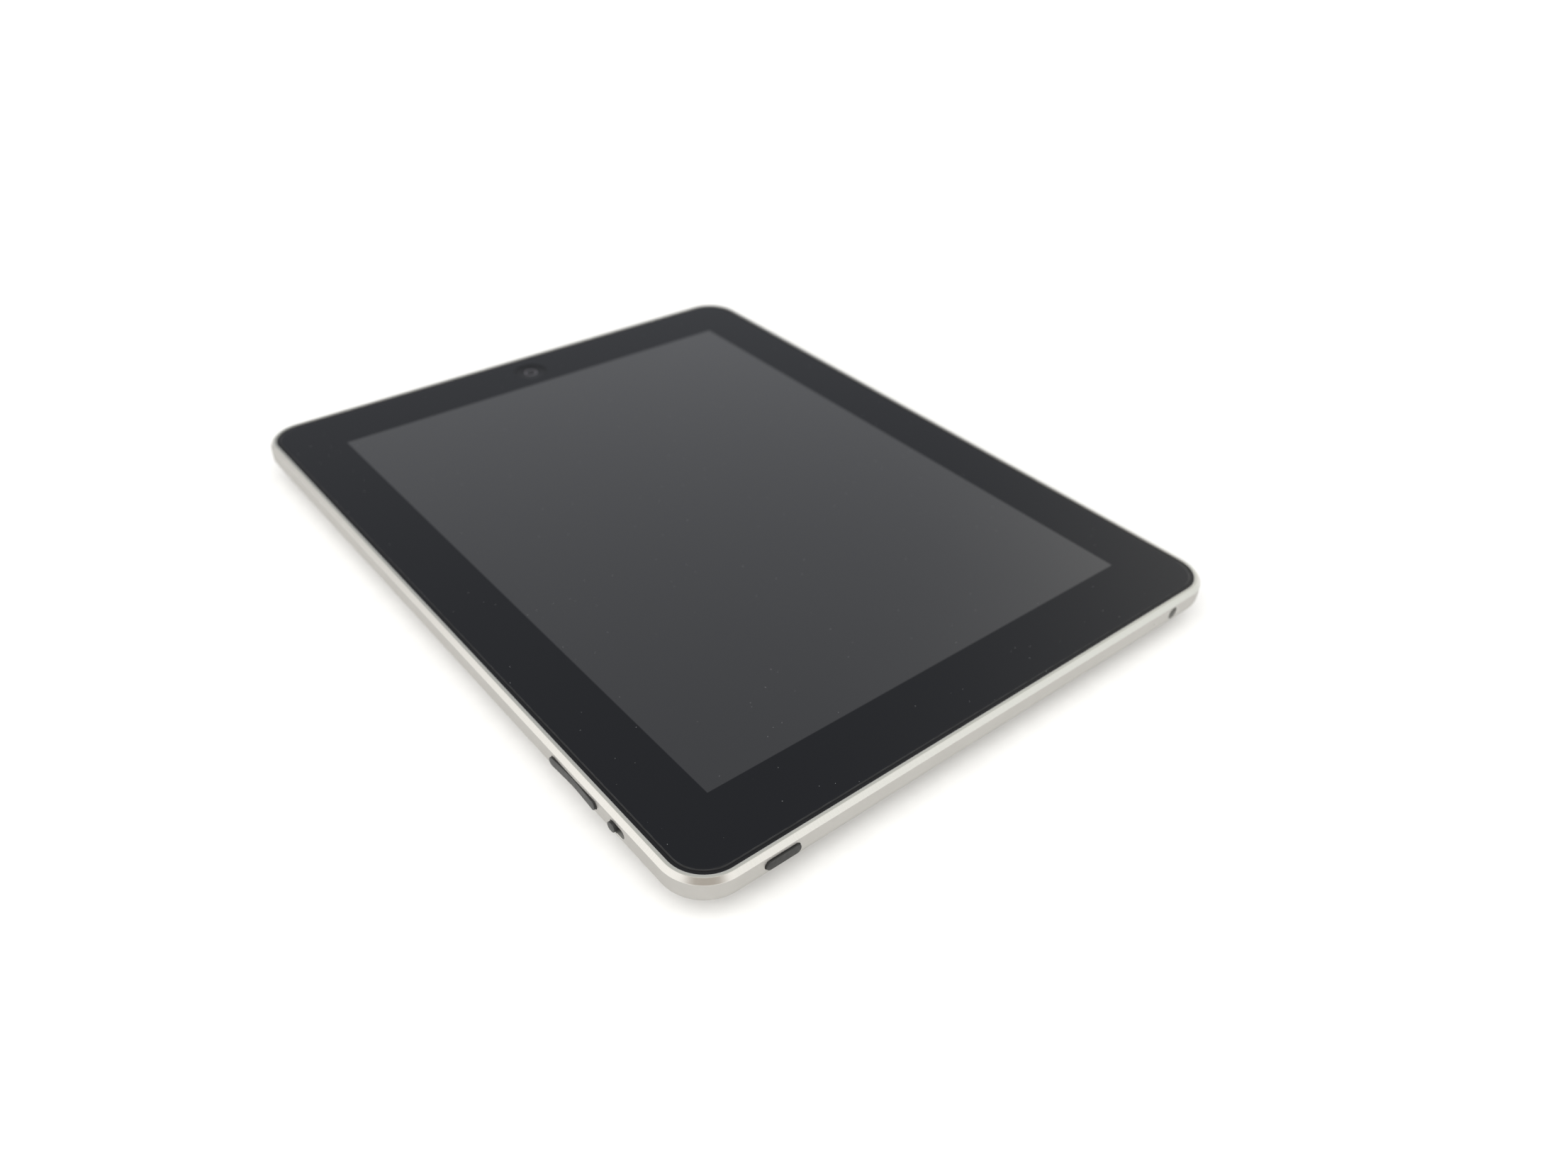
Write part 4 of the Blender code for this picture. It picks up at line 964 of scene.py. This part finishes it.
def add_spring(mesh, angle, start):
    """Bent strip at one turn round the bore, dipping into it behind start."""
    outward = (math.cos(angle), math.sin(angle))
    across = (-math.sin(angle), math.cos(angle))
    half, thick = SPRING_HALF_WIDTH, SPRING_THICKNESS
    rings = []
    for depth, reach in SPRING_BEND:
        ring = []
        for side, out in ((-half, reach), (half, reach), (half, reach + thick), (-half, reach + thick)):
            ring.append((JACK_X + out * outward[0] + side * across[0], start - depth,
                         PORT_Z + out * outward[1] + side * across[1]))
        rings.append(ring)
    add_rings(mesh, rings, [1] * (len(rings) - 1))


def speaker_screen(node):
    """Plain weave of round wires, held in a flat rim that fills the slot."""
    low, high = span(node)
    centre = (low + high) / 2
    half_u, half_depth, half_v = (high - low) / 2
    limit = half_v - SCREEN_RIM / 2
    mesh = bmesh.new()
    for along_u, half, shift in ((True, half_v, 0.5), (False, half_u, 0.0)):
        count = math.ceil(half / WIRE_PITCH)
        for number in range(-count, count + 1):
            place = (number + shift) * WIRE_PITCH
            over = abs(place) if along_u else max(0.0, abs(place) - (half_u - half_v))
            if over < limit:
                reach = (half_u - half_v if along_u else 0.0) + math.sqrt(limit ** 2 - over ** 2)
                add_wire(mesh, centre, along_u, number, place, reach, half_depth - WIRE_RADIUS)
    stations = ((low.y, 0.0), (high.y, 0.0), (high.y, SCREEN_RIM), (low.y + SCREEN_BEVEL, SCREEN_RIM),
                (low.y, SCREEN_RIM - SCREEN_BEVEL))
    sections = [(y, pill(2 * (half_u - shrink), 2 * (half_v - shrink), (centre.x, centre.z)))
                for y, shrink in stations]
    add_rings(mesh, placed(sections, "Y"), ends="join")
    piece(node.replace("mesh", "screen"), mesh, [MATERIALS["wire"]], sharp=50.0, replaces=node)


def add_wire(mesh, centre, along_u, number, place, reach, swing):
    """One wire of a weave. It runs over one crossing wire and under the next."""
    steps = max(2, math.ceil(2 * reach / (WIRE_PITCH / 4)))
    rings = []
    for step in range(steps + 1):
        run = -reach + 2 * reach * step / steps
        phase = math.pi * (run / WIRE_PITCH + number)
        wave = swing * (math.cos(phase) if along_u else -math.sin(phase))
        ring = []
        for across, deep in circle((place, wave), WIRE_RADIUS, WIRE_SIDES):
            u, v = (run, across) if along_u else (across, run)
            ring.append((centre.x + u, centre.y + deep, centre.z + v))
        rings.append(ring)
    add_rings(mesh, rings)


def contact_tongue():
    """Tongue of the dock connector: moulded, with a row of gilded contacts let into its top."""
    low, high = span("dock_contacts")
    half_x, half_z = (high.x - low.x) / 2, (high.z - low.z) / 2
    stations = ((low.y, TONGUE_BEVEL), (low.y + TONGUE_BEVEL, 0.0), (high.y, 0.0))
    half_z -= CONTACT_RISE
    sections = [(y, rounded(half_x - shrink, half_z - shrink, TONGUE_CORNER, (0.0, DOCK_Z), 6))
                for y, shrink in stations]
    mesh = bmesh.new()
    add_rings(mesh, placed(sections, "Y"))
    tongue = piece("contact_tongue", mesh, [MATERIALS["moulded"], MATERIALS["gold"]],
                   replaces="dock_contacts")
    contacts = bmesh.new()
    pitch = 2 * (half_x - CONTACT_SIDE) / CONTACT_COUNT
    for number in range(CONTACT_COUNT):
        x = (number - (CONTACT_COUNT - 1) / 2) * pitch
        add_box(contacts, (x - pitch / 4, low.y + CONTACT_FRONT, high.z - CONTACT_DEPTH),
                (x + pitch / 4, high.y - CONTACT_BACK, high.z), slot=1)
    combine(tongue, contacts, "UNION")


def finish_packed_nodes():
    """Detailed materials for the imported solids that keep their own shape."""
    for part in frame["record"]["subparts"]:
        material = PACKED_FINISHES.get(part["material_slot"])
        if material:
            for slot in frame["nodes"][part["node"]].material_slots:
                slot.material = material


# ---------------------------------------------------------------- stage

CAMERA_POSITION = Vector((0.18768, 0.25204, 0.21549))  # metres, as is the focus distance
CAMERA_AIM = Vector((0.01020, 0.04915, 0.01340))
CAMERA_ROLL = math.radians(2.5)
CAMERA_LENS = 27.41
FOCUS_DISTANCE = 0.262
APERTURE = 11.0

SKY = (0.95, (1.0, 0.985, 0.95))  # strength and tint of the room
# Areas of another brightness: direction, cosines of their outer and inner edge, strength, tint
SKY_AREAS = (
    ((-0.30, -0.80, 0.50), 0.68, 0.93, 0.36, (0.95, 0.98, 1.05)),
    ((0.45, 0.64, 0.62), 0.77, 0.96, 0.40, (1.0, 0.92, 0.82)),
    ((-0.85, 0.45, 0.28), 0.74, 1.02, 0.75, (0.97, 1.0, 0.955)),
    ((0.36, -0.91, 0.20), 0.91, 1.01, 0.50, (1.0, 0.99, 0.96)),
)
SUN = (2.6, 90.0, (0.76, 0.60, 1.0))  # strength, angle, direction it comes from
BACKDROP = (1.1, 1.1, 1.1)
FLOOR_HALF, FLOOR_CORNER, FLOOR_DEPTH, FLOOR_TOP = 2500.0, 200.0, -4.0, -0.02


def floor():
    mesh = bmesh.new()
    add_prism(mesh, rounded(FLOOR_HALF, FLOOR_HALF, FLOOR_CORNER, steps=6), FLOOR_DEPTH, FLOOR_TOP)
    piece("floor", mesh, [floor_paint()], body=None)


def sky():
    """Pale room with a few areas of another brightness. The camera itself sees a plain white wall."""
    world = bpy.data.worlds.new("studio")
    bpy.context.scene.world = world
    world.use_nodes = True
    tree = Tree(world.node_tree)
    direction = tree.node("ShaderNodeTexCoord").outputs["Generated"]
    strength, tint = SKY
    light = [strength * value for value in tint]
    for toward, outer, inner, strength, tint in SKY_AREAS:
        facing = tree.node("ShaderNodeVectorMath", {0: direction, 1: Vector(toward).normalized()},
                           operation="DOT_PRODUCT")
        share = tree.ramp(facing.outputs["Value"], outer, inner)
        light = tree.mix(share, light, [strength * value for value in tint])
    seen = tree.node("ShaderNodeLightPath").outputs["Is Camera Ray"]
    tree.set(tree.tree.nodes["Background"], "Color", tree.mix(seen, light, BACKDROP))


def sun():
    strength, angle, origin = SUN
    data = bpy.data.lights.new("ceiling", "SUN")
    data.energy = strength
    data.angle = math.radians(angle)
    lamp = bpy.data.objects.new("ceiling", data)
    lamp.visible_glossy = False  # bright paper, but no hot spots on the metal
    lamp.rotation_euler = Vector(origin).to_track_quat("Z", "Y").to_euler()
    bpy.context.scene.collection.objects.link(lamp)


def camera():
    data = bpy.data.cameras.new("camera")
    data.lens = CAMERA_LENS
    data.sensor_width = 36.0
    data.clip_start = 0.01
    data.dof.use_dof = True
    data.dof.focus_distance = FOCUS_DISTANCE
    data.dof.aperture_fstop = APERTURE
    item = bpy.data.objects.new("camera", data)
    item.location = CAMERA_POSITION
    look = (CAMERA_AIM - CAMERA_POSITION).to_track_quat("-Z", "Y")
    item.rotation_mode = "QUATERNION"
    item.rotation_quaternion = look @ Quaternion((0, 0, 1), CAMERA_ROLL)
    bpy.context.scene.collection.objects.link(item)
    bpy.context.scene.camera = item


MATERIALS = {
    "blasted": blasted_aluminium(),
    "cut": cut_aluminium(),
    "lip": lip_aluminium(),
    "milled": shaded_milled_aluminium(),
    "glass": front_glass(),
    "ground_edge": ground_edge(),
    "frame": frame_plastic(),
    "key": key_face("key_face", 0.050),
    # The power key's face: the same moulding as the other keys, painted darker as shade.
    "shaded_power_face": key_face("shaded_power_face", 0.024),
    "shaded_key_side": shaded_key_side(),
    "home": home_plastic(),
    "moulded": moulded_plastic(),
    "gold": gilding(),
    "wire": brushed_steel("woven_wire", (0.20, 0.20, 0.20)),
}
PACKED_FINISHES = {
    "black_plastic": MATERIALS["moulded"],
    "clear_sheet": clear_sheet(),
    "display_cell": display_cell(),
    "steel": brushed_steel("brushed_steel", (0.56, 0.555, 0.545)),
    "circuit_board": circuit_board(),
    "chip_resin": chip_resin(),
    "battery_wrap": battery_wrap(),
    "cable_film": cable_film(),
    "contact_gold": MATERIALS["gold"],
    "rubber": rubber(),
}

finish_packed_nodes()
case_shell()
antenna_disc()
glass_panel()
frame_ring()
home_key()
power_key()
volume_key()
lock_key()
jack_socket()
for screen in SPEAKER_MESHES:
    speaker_screen(screen)
contact_tongue()
floor()
sky()
sun()
camera()
bpy.context.scene.view_settings.view_transform = "Standard"
